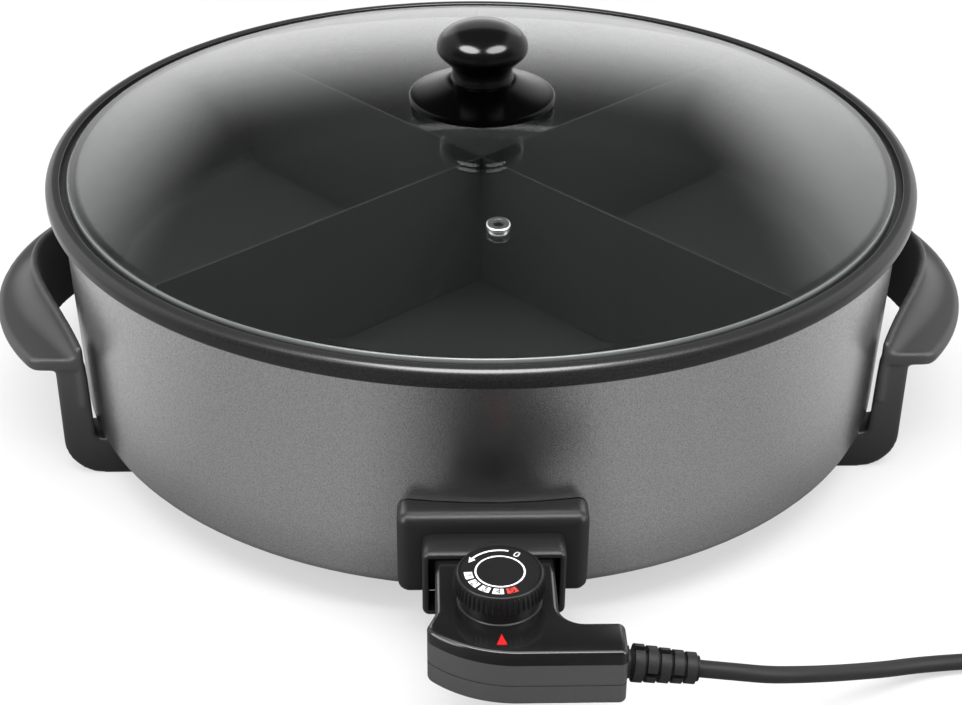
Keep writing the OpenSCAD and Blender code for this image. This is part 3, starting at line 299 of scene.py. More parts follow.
def joined(obj, tool, operation):
    """Unites a mesh with a tool, or cuts the tool out of it, and removes the tool."""
    evaluated(obj, ("BOOLEAN", {"object": tool, "operation": operation, "solver": "EXACT"}))
    bpy.data.objects.remove(tool)


def moved(obj, by, turn=Matrix.Identity(3)):
    """Turns and shifts the points of a mesh."""
    for v in obj.data.vertices:
        v.co = turn @ v.co + by
    return obj


def dress(obj, body, slot, finish, *nodes):
    """Gives a piece its body, its material and the nodes it stands for. The slot is not used."""
    obj.data.materials.clear()
    obj.data.materials.append(finish)
    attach(obj, body)
    if nodes:
        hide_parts(*nodes)
    return obj


# Node trees


def add_node(tree, kind, inputs=None, **settings):
    """Adds a node. Its inputs, by name or place, take a value or another node's output."""
    node = tree.nodes.new(kind)
    for key, value in settings.items():
        setattr(node, key, value)
    for key, value in (inputs or {}).items():
        if isinstance(value, bpy.types.NodeSocket):
            tree.links.new(value, node.inputs[key])
        else:
            node.inputs[key].default_value = value
    return node


def calc(tree, operation, *values):
    return add_node(tree, "ShaderNodeMath", dict(enumerate(values)), operation=operation).outputs[0]


def product(tree, first, *rest):
    for value in rest:
        first = calc(tree, "MULTIPLY", first, value)
    return first


def span(tree, value, start, end, low=0.0, high=1.0, interpolation="LINEAR"):
    """Maps start to low and end to high, and holds the value beyond both."""
    inputs = {"Value": value, "From Min": start, "From Max": end, "To Min": low, "To Max": high}
    return add_node(tree, "ShaderNodeMapRange", inputs, interpolation_type=interpolation).outputs["Result"]


def two_tones(tree, factor, first, second):
    inputs = {"Factor": factor, "A": (*first, 1), "B": (*second, 1)}
    return add_node(tree, "ShaderNodeMix", inputs, data_type="RGBA").outputs["Result"]


def object_place(tree):
    return add_node(tree, "ShaderNodeTexCoord").outputs["Object"]


def split_axes(tree, vector):
    return add_node(tree, "ShaderNodeSeparateXYZ", {"Vector": vector}).outputs


def mix_shaders(tree, factor, first, second):
    return add_node(tree, "ShaderNodeMixShader", {0: factor, 1: first, 2: second}).outputs["Shader"]


def emission(tree, strength):
    return add_node(tree, "ShaderNodeEmission", {"Strength": strength}).outputs["Emission"]


def backdrop(tree, strength):
    inputs = {"Color": (1, 1, 1, 1), "Strength": strength}
    return add_node(tree, "ShaderNodeBackground", inputs).outputs["Background"]


# Grain groups that several materials share


def grain_tree(name, scale, height):
    """A group with a scale and a height, which gives a normal and a mask."""
    tree = bpy.data.node_groups.new(name, "ShaderNodeTree")
    for label, value in (("Scale", scale), ("Height", height)):
        tree.interface.new_socket(label, in_out="INPUT", socket_type="NodeSocketFloat").default_value = value
    for label, kind in (("Normal", "NodeSocketVector"), ("Mask", "NodeSocketFloat")):
        tree.interface.new_socket(label, in_out="OUTPUT", socket_type=kind)
    return tree, add_node(tree, "NodeGroupInput").outputs


def close_grain(tree, mask, height):
    bump = add_node(tree, "ShaderNodeBump", {"Strength": 1.0, "Distance": height, "Height": mask})
    add_node(tree, "NodeGroupOutput", {"Normal": bump.outputs["Normal"], "Mask": mask})
    return tree


def grain_group():
    """Fine moulded or sprayed grain: a normal and a mask in object space."""
    tree, enter = grain_tree("fine_grain", 900.0, 0.00003)
    inputs = {"Vector": object_place(tree), "Scale": enter["Scale"], "Detail": 3, "Roughness": 0.6}
    noise = add_node(tree, "ShaderNodeTexNoise", inputs)
    return close_grain(tree, noise.outputs["Fac"], enter["Height"])


def hammer_group():
    """Pebbled hammer finish: cells with soft edges, over slow clouds."""
    tree, enter = grain_tree("hammer_finish", 700.0, 0.00008)
    spot = {"Vector": object_place(tree), "Scale": enter["Scale"]}
    soft = {**spot, "Smoothness": 0.6, "Randomness": 1.0}
    cells = add_node(tree, "ShaderNodeTexVoronoi", soft, feature="SMOOTH_F1")
    clouds = add_node(tree, "ShaderNodeTexNoise", {**spot, "Detail": 2})
    pebbles = calc(tree, "MULTIPLY_ADD", cells.outputs["Distance"], 0.8, clouds.outputs["Fac"])
    return close_grain(tree, pebbles, enter["Height"])


GRAIN = grain_group()
HAMMER = hammer_group()


# Materials


def grey(v):
    return (v, v, v * 1.01)


def shader_of(mat):
    return mat.node_tree.nodes["Principled BSDF"]


def material(name, color, rough, metal=0.0, coat=0.0, specular=0.5, transmission=0.0):
    mat = bpy.data.materials.new(name)
    mat.use_nodes = True
    values = {
        "Base Color": (*color, 1), "Roughness": rough, "Metallic": metal, "Coat Weight": coat,
        "Coat Roughness": 0.08, "Specular IOR Level": specular, "Transmission Weight": transmission,
    }
    for label, value in values.items():
        shader_of(mat).inputs[label].default_value = value
    return mat


def feed(mat, **outputs):
    """Links outputs to the shader's inputs, with _ for the blanks in their names."""
    for label, output in outputs.items():
        mat.node_tree.links.new(output, shader_of(mat).inputs[label.replace("_", " ")])
    return mat


def surface(mat, shader):
    mat.node_tree.links.new(shader, mat.node_tree.nodes["Material Output"].inputs["Surface"])
    return mat


def grained(mat, tree, scale, height, tones=None, at=(0.3, 0.7)):
    """Adds a grain group's normal, and two tones of the mask where they are given."""
    grain = add_node(mat.node_tree, "ShaderNodeGroup", {"Scale": scale, "Height": height}, node_tree=tree)
    feed(mat, Normal=grain.outputs["Normal"])
    if tones:
        ramp = add_node(mat.node_tree, "ShaderNodeValToRGB", {"Fac": grain.outputs["Mask"]})
        for stop, tone, place in zip(ramp.color_ramp.elements, tones, at):
            stop.color, stop.position = (*tone, 1), place
        feed(mat, Base_Color=ramp.outputs["Color"])
    return mat


def glass_material():
    """Clear glass that lets lamps light what is behind it."""
    mat = material("clear_glass", (0.97, 0.99, 0.985), 0.0, transmission=1.0)
    tree = mat.node_tree
    shadow = add_node(tree, "ShaderNodeLightPath").outputs["Is Shadow Ray"]
    clear = add_node(tree, "ShaderNodeBsdfTransparent", {"Color": (0.9, 0.92, 0.91, 1)}).outputs["BSDF"]
    return surface(mat, mix_shaders(tree, shadow, shader_of(mat).outputs["BSDF"], clear))


def handle_satin_painted_shade():
    """Satin black with painted shade: darker towards the floor and on the side that faces the housing, which
    is also rougher.
    """
    mat = grained(material("handle_satin_painted_shade", grey(0.024), 0.42), GRAIN, 1600, 0.00003)
    tree = mat.node_tree
    outer = add_node(tree, "ShaderNodeAttribute", attribute_name=OUTER_SIDE).outputs["Fac"]
    floor_shade_fade = span(tree, split_axes(tree, object_place(tree))["Z"], 0, LEG_SHADE_Z * MM)
    tone = two_tones(tree, product(tree, floor_shade_fade, outer), grey(0.006), grey(0.026))
    return feed(mat, Base_Color=tone, Roughness=span(tree, outer, 0, 1, 0.9, 0.42))


def capped_material():
    """Gloss black on top, satin dark grey on the sides below the cap; the sides' lighter grey is partly
    their satin colour and partly a painted reflection of the bright floor.
    """
    mat = grained(material("controller_two_tone_and_painted_reflection", grey(0.03), 0.4), GRAIN, 2200, 0.000008)
    tree = mat.node_tree
    height = split_axes(tree, object_place(tree))["Z"]
    cap = span(tree, height, (CAP_Z - CAP_BLUR) * MM, (CAP_Z + CAP_BLUR) * MM)
    tone = two_tones(tree, cap, grey(0.036), grey(0.006))
    return feed(mat, Base_Color=tone, Roughness=span(tree, cap, 0, 1, 0.4, 0.14))


METAL = {"metal": 1.0}

# Smooth finishes: colour, roughness and other settings
SMOOTH = {
    "bright_metal": (grey(0.85), 0.25, METAL),
    "knob_gloss": (grey(0.001), 0.16, {"specular": 0.15}),
    "controller_gloss": (grey(0.009), 0.2, {"coat": 0.3}),
    "contact_brass": ((0.72, 0.52, 0.22), 0.3, METAL),
    "red_lens": ((0.42, 0.012, 0.012), 0.2, {}),
    "lamp_glass": ((0.9, 0.6, 0.4), 0.05, {"transmission": 0.9}),
}

# Grained finishes: colour, roughness, scale and height of the grain, and other settings
FINE_GRAINED = {
    "plain_steel": (grey(0.55), 0.35, 600, 0.00001, METAL),
    "heater_steel": ((0.24, 0.22, 0.2), 0.55, 400, 0.00003, METAL),
    "cast_aluminium": (grey(0.6), 0.5, 500, 0.00005, METAL),
    "insulator": ((0.03, 0.026, 0.022), 0.6, 700, 0.00003, {}),
    "black_plastic": (grey(0.008), 0.36, 1800, 0.00002, {"specular": 0.4}),
    "divider_sheet": (grey(0.02), 0.16, 1500, 0.00001, {}),
    "grey_rubber": (grey(0.15), 0.7, 900, 0.00003, {}),
    "controller_satin": (grey(0.036), 0.42, 2200, 0.00001, {}),
    "dial_plastic": (grey(0.007), 0.3, 2200, 0.00001, {"specular": 0.3}),
    "dial_print": (grey(0.008), 0.35, 2200, 0.00001, {"specular": 0.25}),
    "cord_rubber": (grey(0.01), 0.5, 1500, 0.00002, {"specular": 0.25}),
    "tie_plastic": (grey(0.02), 0.5, 1500, 0.00002, {}),
}

MATS = {name: material(name, color, rough, **more) for name, (color, rough, more) in SMOOTH.items()}
for name, (color, rough, scale, height, more) in FINE_GRAINED.items():
    MATS[name] = grained(material(name, color, rough, **more), GRAIN, scale, height)
MATS["clear_glass"] = glass_material()
MATS["housing_paint"] = grained(
    material("housing_paint", grey(0.5), 0.24, **METAL), HAMMER, 1800, 0.00004,
    (grey(0.37), grey(0.63)), (0.45, 1.0),
)
MATS["non_stick"] = grained(
    material("non_stick", grey(0.01), 0.24, specular=0.35), GRAIN, 1500, 0.00001, (grey(0.008), grey(0.013)),
)

# Finishes of single pieces, beside those of the slots
HANDLE_SATIN_PAINTED_SHADE = handle_satin_painted_shade()
GROUND_GLASS = material("ground_glass", (0.07, 0.075, 0.075), 0.16)
# Painted shade that lines the vent's bore
PAINTED_BORE_SHADE = material("painted_bore_shade", grey(0.02), 0.6)
PRINT_WHITE = material("print_white", (0.8, 0.8, 0.8), 0.5)
PRINT_RED = material("print_red", (0.5, 0.03, 0.025), 0.5)
PRINT_DARK = material("print_dark", (0.015, 0.015, 0.016), 0.5)


# Camera, cord and the pieces that keep their solids' shapes


def make_camera():
    data = bpy.data.cameras.new("view")
    data.lens = CAMERA_LENS
    data.sensor_width = SENSOR_W
    data.sensor_fit = "HORIZONTAL"
    data.clip_start = 0.01
    cam = link(bpy.data.objects.new("view", data))
    turn = Euler((math.radians(90 - CAMERA_DOWN), 0, math.radians(CAMERA_YAW))).to_matrix()
    turn = turn @ Matrix.Rotation(math.radians(CAMERA_ROLL), 3, "Z")
    cam.matrix_world = Matrix.Translation(CAMERA_AT) @ turn.to_4x4()
    SCENE.camera = cam


def cord_points():
    """The cord's line in metres: the route, a coil wound inward and out again, and the lead to the plug."""
    half = COIL_TURNS * 180
    inner = COIL_R - COIL_STEP * half / 360
    points = spline(ROUTE, ROUTE_STEPS)
    count = round(COIL_TURNS * TURN_STEPS)
    for i in range(count + 1):
        t = 360 * COIL_TURNS * i / count
        x, y = polar(inner + COIL_STEP * abs(t - half) / 360, t - 90)
        z = COIL_Z + COIL_STEP * ease((t - half + 90) / 180)
        points.append(Vector((COIL_AT[0] + x, COIL_AT[1] + y, z)))
    top = COIL_Z + COIL_STEP
    for i in range(1, LEAD_STEPS + 1):
        s = i / LEAD_STEPS
        z = top + (PLUG_Z - top) * ease(s)
        points.append(Vector((COIL_AT[0] + COIL_R, COIL_AT[1] + COIL_LEAD * s, z)))
    points.append(points[-1] + Vector((0, 2 * CORD_R + 1, 0)))
    return [p * MM for p in points]


def polish(node):
    """A copy of a node's mesh with welded points and smooth curves, in its place."""
    src = NODES[node]
    me = src.data.copy()
    me.name = "fine_" + node
    bm = bmesh.new()
    bm.from_mesh(me)
    bmesh.ops.remove_doubles(bm, verts=bm.verts, dist=WELD)
    bm.to_mesh(me)
    bm.free()
    if "custom_normal" in me.attributes:
        me.attributes.remove(me.attributes["custom_normal"])
    shade(me, POLISH_ANGLE)
    obj = link(bpy.data.objects.new("fine_" + node, me))
    return dress(obj, src["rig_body"], SLOTS[node], MATS[SLOTS[node]], node)


def mains_cord():
    """The cord in one length, from the strain relief to the plug."""
    path = cord_points()
    curve = bpy.data.curves.new("mains_cord", "CURVE")
    curve.dimensions = "3D"
    curve.bevel_depth = CORD_R * MM
    curve.bevel_resolution = 4
    curve.use_fill_caps = True
    line = curve.splines.new("POLY")
    line.points.add(len(path) - 1)
    for point, at in zip(line.points, path):
        point.co = (*at, 1)
        point.radius = 1
    line.use_smooth = True
    cord = link(bpy.data.objects.new("mains_cord", curve))
    dress(cord, "thermostat", "cord_rubber", MATS["cord_rubber"], "cord_run", "cord_coil")
    on_cord = [polish("plug_body")] + [NODES[n] for n in ("plug_pins", "plug_earth", "coil_tie")]
    # The coil lies out of view, so the housing doesn't mirror it
    for obj in [cord] + on_cord:
        obj.visible_glossy = False


def housing_and_inlet():
    """Every node's own material, the smooth housing, and the inlet and sleeve with small bevels."""
    for name, obj in NODES.items():
        obj.data.materials.clear()
        obj.data.materials.append(MATS[SLOTS[name]])
    polish("housing_shell")
    for name, width in SOFT_EDGES.items():
        soft = polish(name)
        bevel = {"width": width * MM, "segments": 3, "limit_method": "ANGLE", "angle_limit": 0.6}
        evaluated(soft, ("BEVEL", bevel))
        shade(soft.data, BEVEL_ANGLE)


# Round pieces, turned with many more facets than their solids have


def cooking_pan():
    foot = (PAN_FOOT_R - PAN_CORNER, PAN_UNDER + PAN_CORNER)
    brim = PAN_R - PAN_T + LEDGE_EDGE
    pan = lathe(
        "pan_turned",
        [(0, PAN_UNDER), (foot[0] / 2, PAN_UNDER)]
        + arc(*foot, PAN_CORNER, -90, 0, 12)
        + [(PAN_R, RIM_Z)]
        + arc(RIM_R - RIM_LOW_EDGE, RIM_Z + RIM_LOW_EDGE, RIM_LOW_EDGE, -90, 0, 6)
        + arc(RIM_R - RIM_TOP_EDGE, RIM_TOP - RIM_TOP_EDGE, RIM_TOP_EDGE, 0, 90, 14)
        + arc(LEDGE_R + RIM_INNER_EDGE, RIM_TOP - RIM_INNER_EDGE, RIM_INNER_EDGE, 90, 180, 5)
        + [(LEDGE_R, LEDGE_Z), (brim, LEDGE_Z)]
        + arc(brim, LEDGE_Z - LEDGE_EDGE, LEDGE_EDGE, 90, 180, 3)[1:]
        + arc(*foot, PAN_CORNER - PAN_T, 0, -90, 12)
        + [(foot[0] / 2, PAN_FLOOR), (0, PAN_FLOOR)],
        WIDE_FACETS,
    )
    return dress(pan, "pan", "non_stick", MATS["non_stick"], "cooking_pan")


def dome(r):
    """Height of the glass's underside."""
    return CREST - DOME_R + math.sqrt(DOME_R ** 2 - r * r)


def glass_lid():
    """The domed glass, and the ground edge as a skin of its own."""
    half = LID_T / 2
    rim = (LID_R - half, dome(LID_R - half) + half)
    radii = [LID_BORE + (rim[0] - LID_BORE) * (i / 40) for i in range(41)]
    glass = lathe(
        "lid_turned",
        [(r, dome(r)) for r in radii] + arc(*rim, half, -76, 76, 10)
        + [(r, dome(r) + LID_T) for r in reversed(radii)],
        WIDE_FACETS, closed=True, angle=60,
    )
    dress(glass, "lid", "clear_glass", MATS["clear_glass"], "lid_glass")
    ground = arc(*rim, GROUND_R, -30, 58, 10)
    skin = ground + [(r - GROUND_T, z) for r, z in reversed(ground)]
    edge = lathe("ground_edge", skin, WIDE_FACETS, closed=True)
    return glass, dress(edge, "lid", "clear_glass", GROUND_GLASS)


def knob_and_plate():
    """The knob on its neck, and the wide plate under it."""
    flare = [(r, NECK_Z + z) for r, z in NECK_FLARE]
    tuck = []
    for i in range(20):
        t = i / 20
        swell = ease(t) + KNOB_SWELL * math.sin(math.pi * t)
        tuck.append((NECK_R + (KNOB_R - NECK_R) * swell, BALL_Z - KNOB_TUCK * (1 - t)))
    ball = [(polar(KNOB_R, a)[0], BALL_Z + polar(KNOB_DOME, a)[1]) for a in range(0, 90, 5)]
    profile = [(0, NECK_Z)] + flare + tuck + ball + [(0, BALL_Z + KNOB_DOME)]
    knob = lathe("knob_turned", profile, ROUND_FACETS, angle=MOULD_ANGLE)
    dress(knob, "lid", "knob_gloss", MATS["knob_gloss"], "lid_knob")
    brow, brow_z = PLATE_R - PLATE_TOP_EDGE, PLATE_Z + PLATE_EDGE
    slope = []
    for i in range(1, 16):
        t = i / 16
        slope.append((brow - PLATE_SLOPE * t, brow_z + PLATE_RISE * (0.75 * t + 0.25 * t * t)))
    foot = PLATE_R - PLATE_LOW_EDGE
    plate = lathe(
        "knob_plate_turned",
        [(PLATE_BORE, PLATE_Z), (foot, PLATE_Z)]
        + arc(foot, PLATE_Z + PLATE_LOW_EDGE, PLATE_LOW_EDGE, -90, 0, 4)
        + arc(brow, brow_z - PLATE_TOP_EDGE, PLATE_TOP_EDGE, 0, 80, 6)
        + slope + [(NECK_FOOT_R, NECK_Z), (PLATE_BORE, NECK_Z)],
        FINE_FACETS, closed=True,
    )
    return knob, dress(plate, "lid", "knob_gloss", MATS["knob_gloss"], "knob_plate")


def steam_vent():
    """The vent, and a dark lining in its bore that paints the shade of the hole, square on the slope of the
    glass.
    """
    at = Vector((VENT_AT[0] * MM, PAN_Y + VENT_AT[1] * MM, dome(VENT_R) * MM))
    slant = Matrix.Rotation(math.asin(VENT_R / DOME_R), 3, "X")
    lip = [point for bend in VENT_LIP for point in arc(*bend)]
    vent = lathe("vent_turned", VENT_SHANK + lip, VENT_FACETS, at=(0, 0), closed=True)
    throat = lathe("vent_bore_shade_lining", VENT_THROAT, BORE_FACETS, at=(0, 0), closed=True)
    dress(moved(throat, at, slant), "lid", "bright_metal", PAINTED_BORE_SHADE)
    dress(moved(vent, at, slant), "lid", "bright_metal", MATS["bright_metal"], "vent_eyelet")


# Handles: guard and grip in one sweep, run together with the legs


def guard_x(y):
    """Middle line of the guard, which bows out from the housing."""
    bow = GUARD_BOW * (1 + math.cos(math.pi * y / HANDLE_HALF))
    return math.sqrt(HOUSING_MID ** 2 - y * y) + GUARD_GAP + bow


def grip_x(y):
    """Outer edge of the grip: one wide arc with a small arc at each end."""
    inner = GRIP_R - GRIP_CORNER
    v = abs(y)
    if v < GRIP_CORNER_Y * GRIP_R / inner:
        return GRIP_X + math.sqrt(GRIP_R ** 2 - y * y)
    corner = GRIP_X + math.sqrt(inner ** 2 - GRIP_CORNER_Y ** 2)
    return corner + math.sqrt(max(GRIP_CORNER ** 2 - (v - GRIP_CORNER_Y) ** 2, 0))


def handle_section(y):
    """Section of guard and grip, which draws in at the handle's ends."""
    u = max(abs(y) - HANDLE_HALF + HANDLE_END, 0) / HANDLE_END
    d = HANDLE_INSET * (1 - math.sqrt(max(1 - u * u, 0)))
    half = GUARD_T / 2 - min(d, GUARD_T / 3)
    back, front = guard_x(y) - half, guard_x(y) + half
    low, high = GRIP_LOW + d, GRIP_HIGH - d
    top = GUARD_TOP - GUARD_DROP * (y / HANDLE_HALF) ** 2 - d
    edge = min(GUARD_EDGE, half - EDGE_ROOM)
    nose = GRIP_NOSE - d / 2
    reach = grip_x(y) - d - nose
    sweep = min(GRIP_SWEEP, top - high - edge - SWEEP_ROOM)
    return (
        [(back, GUARD_LOW + d), (front, GUARD_LOW + d), (front, low)]
        + arc(reach, low + nose, nose, -90, 0, 6)
        + arc(reach, high - nose, nose, 0, 90, 6)
        + arc(front + sweep, high + sweep, sweep, 270, 180, 12)
        + arc(front - edge, top - edge, edge, 0, 90, 4)
        + arc(back + edge, top - edge, edge, 90, 180, 4)
    )


def mark_outer_side(me):
    """Writes 1 on points that face away from the housing and 0 on those that face it, for the handles'
    painted shade.
    """
    outer = me.attributes.new(OUTER_SIDE, "FLOAT", "POINT")
    for v in me.vertices:
        away = Vector((v.co.x, v.co.y - PAN_Y, 0)).normalized()
        outer.data[v.index].value = min(max((v.normal.dot(away) - FACING_FROM) / FACING_SPAN, 0), 1)


def handle(side, node):
    rings = []
    for i in range(-HANDLE_STEPS, HANDLE_STEPS + 1):
        y = HANDLE_HALF * math.sin(math.pi / 2 * i / HANDLE_STEPS)
        rings.append([(x, y, z) for x, z in handle_section(y)])
    obj = loft("moulded_" + node, rings)
    screw_x = math.sqrt((FOOT_R - ARM_SCREW_IN) ** 2 - LEG_Y ** 2)
    outline = (
        [(screw_x - ARM_END, 0)] + arc(LEG_OUT - LEG_CORNER, LEG_CORNER, LEG_CORNER, -90, 0, 20)
        + [(LEG_OUT, LEG_TOP), (LEG_IN, LEG_TOP), (LEG_IN, ARM_T), (screw_x - ARM_END, ARM_T)]
    )
    legs = [
        loft("leg", [[(x, sy * LEG_Y + w, z) for x, z in outline] for w in (-LEG_HALF, LEG_HALF)])
        for sy in (-1, 1)
    ]
    room = [(0, ARM_T), (FOOT_R + ARM_GAP, ARM_T), (HOUSING_R + ARM_GAP, RIM_Z), (0, RIM_Z)]
    drum = lathe("drum", room, WIDE_FACETS, at=(0, 0))
    for leg in legs:
        joined(obj, leg, "UNION")
    joined(obj, drum, "DIFFERENCE")
    for sy in (-1, 1):
        hole = [(0, -1), (BORE_R, -1), (BORE_R, BORE_DEPTH), (0, BORE_DEPTH)]
        bore = lathe("bore", hole, BORE_FACETS, at=(screw_x * MM, sy * LEG_Y * MM))
        joined(obj, bore, "DIFFERENCE")
    evaluated(
        obj,
        ("REMESH", {"mode": "VOXEL", "voxel_size": HANDLE_VOXEL * MM, "use_smooth_shade": True}),
        ("SMOOTH", {"factor": 0.5, "iterations": 6}),
    )
    for v in obj.data.vertices:
        v.co = (side * v.co.x, v.co.y + PAN_Y, v.co.z)
    if side < 0:
        obj.data.flip_normals()
    obj.data.shade_smooth()
    mark_outer_side(obj.data)
    return dress(obj, "pan", "black_plastic", HANDLE_SATIN_PAINTED_SHADE, node)


# Thermostat: both halves from one plan


def plan(d):
    """Outline from the end of the nose, inset by d."""
    cx, cy = FRONT_X, FRONT_R - CTRL_LEN
    fx = FRONT_CORNER - BODY_LEFT
    fy = cy - math.sqrt((FRONT_R - FRONT_CORNER) ** 2 - (fx - cx) ** 2)
    turn = 360 + math.degrees(math.atan2(fy - cy, fx - cx))
    back = SHOULDER_DEPTH - CTRL_LEN
    nose, right, round_r = NOSE_HALF - CTRL_CORNER, SHOULDER_RIGHT - CTRL_CORNER, CTRL_CORNER - d
    return (
        arc(nose, -CTRL_CORNER, round_r, 0, 90, 8)
        + arc(-nose, -CTRL_CORNER, round_r, 90, 180, 8)
        + [(d - NOSE_HALF - out, back + ahead) for out, ahead in LEFT_FLANK]
        + arc(fx, fy, FRONT_CORNER - d, 180, turn, 10)
        + arc(cx, cy, FRONT_R - d, turn, 270, 40)[1:]
        + arc(right, CTRL_CORNER - CTRL_LEN, round_r, 270, 360, 8)
        + arc(right, back - CTRL_CORNER, round_r, 0, 90, 8)
        + arc(NOSE_HALF + SHOULDER_FILLET, back + SHOULDER_FILLET, SHOULDER_FILLET + d, 270, 180, 16)
    )


def controller_half(name, levels):
    """Lofts the plan over levels of (inset, height), and leaves the nose open for the contacts."""
    obj = loft(name, [[(x, y + NOSE_Y, z) for x, y in plan(d)] for d, z in levels], MOULD_ANGLE)
    x, z0, z1 = NOSE_HALF - NOSE_WALL, CTRL_LOW + NOSE_WALL, CTRL_TOP - NOSE_WALL
    mouth = [(-x, z0), (x, z0), (x, z1), (-x, z1)]
    joined(obj, loft("mouth", [[(a, y + NOSE_Y, b) for a, b in mouth] for y in (-10, 1)]), "DIFFERENCE")
    shade(obj.data, MOULD_ANGLE)
    return obj


def controller():
    g, top_r, low_r = SEAM_GROOVE, CTRL_TOP_EDGE, CTRL_LOW_EDGE
    shoulder, sole = CTRL_TOP - top_r, CTRL_LOW + low_r
    upper = [(g, SEAM_Z), (g, SEAM_Z + g), (0, SEAM_Z + g), (0, shoulder)]
    for a in range(9, 91, 9):
        x, z = polar(top_r, a)
        upper.append((top_r - x, shoulder + z))
    top = controller_half("thermostat_top", upper)
    dress(top, "thermostat", "controller_gloss", capped_material(), "controller_top")
    lower = []
    for a in range(0, 91, 15):
        z, x = polar(low_r, a)
        lower.append((low_r - x, sole - z))
    lower += [(0, SEAM_Z - g), (g, SEAM_Z - g), (g, SEAM_Z)]
    base = controller_half("thermostat_base", lower)
    dress(base, "thermostat", "controller_satin", MATS["controller_satin"], "controller_base")


# Dial: a turned body on a round seat, ribs set round it, and the printed marks


def around(name, part, count, finish):
    """Sets copies of a piece round the vertical axis."""
    tree = bpy.data.node_groups.new(name, "GeometryNodeTree")
    tree.interface.new_socket("Geometry", in_out="INPUT", socket_type="NodeSocketGeometry")
    number = tree.interface.new_socket("Count", in_out="INPUT", socket_type="NodeSocketInt")
    tree.interface.new_socket("Geometry", in_out="OUTPUT", socket_type="NodeSocketGeometry")
    enter = add_node(tree, "NodeGroupInput").outputs
    index = add_node(tree, "GeometryNodeInputIndex").outputs[0]
    turn = product(tree, calc(tree, "DIVIDE", index, enter["Count"]), 2 * math.pi)
    spin = add_node(tree, "ShaderNodeCombineXYZ", {"Z": turn}).outputs[0]
    points = add_node(tree, "GeometryNodePoints", {"Count": enter["Count"]}).outputs[0]
    copies = add_node(
        tree, "GeometryNodeInstanceOnPoints",
        {"Points": points, "Instance": enter["Geometry"], "Rotation": spin},
    ).outputs[0]
    real = add_node(tree, "GeometryNodeRealizeInstances", {0: copies}).outputs[0]
    paint = add_node(tree, "GeometryNodeSetMaterial", {"Geometry": real, "Material": finish}).outputs[0]
    add_node(tree, "NodeGroupOutput", {0: paint})
    mod = part.modifiers.new(name, "NODES")
    mod.node_group = tree
    mod[number.identifier] = count
    return evaluated(part)


def dial():
    """The seat on the thermostat, and the ribbed dial that turns over it."""
    plastic = MATS["dial_plastic"]
    wall = [(SEAT_R, CTRL_TOP - 1), (SEAT_R, CTRL_TOP + 0.5), (SEAT_R - 0.5, CTRL_TOP + 0.9)]
    brow = arc(15.8, DIAL_LOW - 0.9, 0.6, 0, 90, 4)
    seat_profile = [(0, CTRL_TOP - 1)] + wall + brow + [(0, DIAL_LOW - 0.3)]
    seat = lathe("dial_seat", seat_profile, ROUND_FACETS, at=DIAL_AT.xy)
    dress(seat, "thermostat", "controller_gloss", plastic)
    skirt = [(17.2, DIAL_LOW), (17.9, DIAL_LOW + 0.8), (17.3, DIAL_TOP - 1.6)]
    crown = arc(16.3, DIAL_TOP - 0.9, 0.9, 0, 90, 6) + [(15.8, DIAL_TOP)]
    well = [(DIAL_WELL_R, DIAL_TOP - DIAL_WELL), (0, DIAL_TOP - DIAL_WELL)]
    body = lathe("dial_turned", [(0, DIAL_LOW)] + skirt + crown + well, FINE_FACETS, at=DIAL_AT.xy)
    dress(body, "dial", "dial_plastic", plastic, "dial_knob")
    rib = loft(
        "dial_ribs",
        [[(x - inset, y * (1 - 0.6 * inset), z) for x, y in RIB_SECTION] for z, inset in RIB_LEVELS], 50,
    )
    dress(moved(around("dial_ribs", rib, RIB_COUNT, plastic), DIAL_AT), "dial", "dial_plastic", plastic)


def print_marks(name, outlines, lift, finish):
    """Flat marks on the dial's face, from outlines in millimetres about its axis."""
    verts, faces = [], []
    for outline in outlines:
        faces.append(list(range(len(verts), len(verts) + len(outline))))
        verts += [Vector((x, y, DIAL_FACE + lift)) * MM + DIAL_AT for x, y in outline]
    obj = outward(mesh_object(name, verts, faces))
    return dress(obj, "dial", "dial_print", finish)


def digit(number, r, a, size):
    """Strokes of a digit with its foot to the dial's edge."""
    up = -Vector(polar(1, a))
    right = Vector((up.y, -up.x))
    quads = []
    line = [Vector(p) for p in STROKES[number]]
    for p, q in zip(line, line[1:]):
        along = (q - p).normalized() * STROKE / 2
        side = Vector((-along.y, along.x))
        corners = (p - along - side, q + along - side, q + along + side, p - along + side)
        quads.append([-up * r + (right * (c.x - 0.5) + up * (c.y - 0.8)) * size for c in corners])
    return quads


def dial_prints():
    """A ring, an arrow, the 0 and the five steps, of which the last is red."""
    boxes = [sector(STEP_BOX, a - STEP_HALF, a + STEP_HALF) for a in STEP_ANGLES]
    white = [sector(RING, a, a + 30, 6) for a in range(0, 360, 30)]
    white += [sector(ARC_LINE, a, a + ARC_LINE_SPAN, 4) for a in ARC_LINE_ANGLES]
    white += [[polar(r, a) for r, a in ARROW_HEAD]] + boxes[:-1]
    white += digit(0, OFF_R, OFF_ANGLE, OFF_SIZE)
    numbers = [q for i, a in enumerate(STEP_ANGLES) for q in digit(i + 1, STEP_R, a, STEP_SIZE)]
    print_marks("dial_marks", white, MARK_LIFT, PRINT_WHITE).visible_glossy = False
    print_marks("dial_mark_red", boxes[-1:], MARK_LIFT, PRINT_RED)
    print_marks("dial_numbers", numbers, NUMBER_LIFT, PRINT_DARK)


# Floor, world and lamps


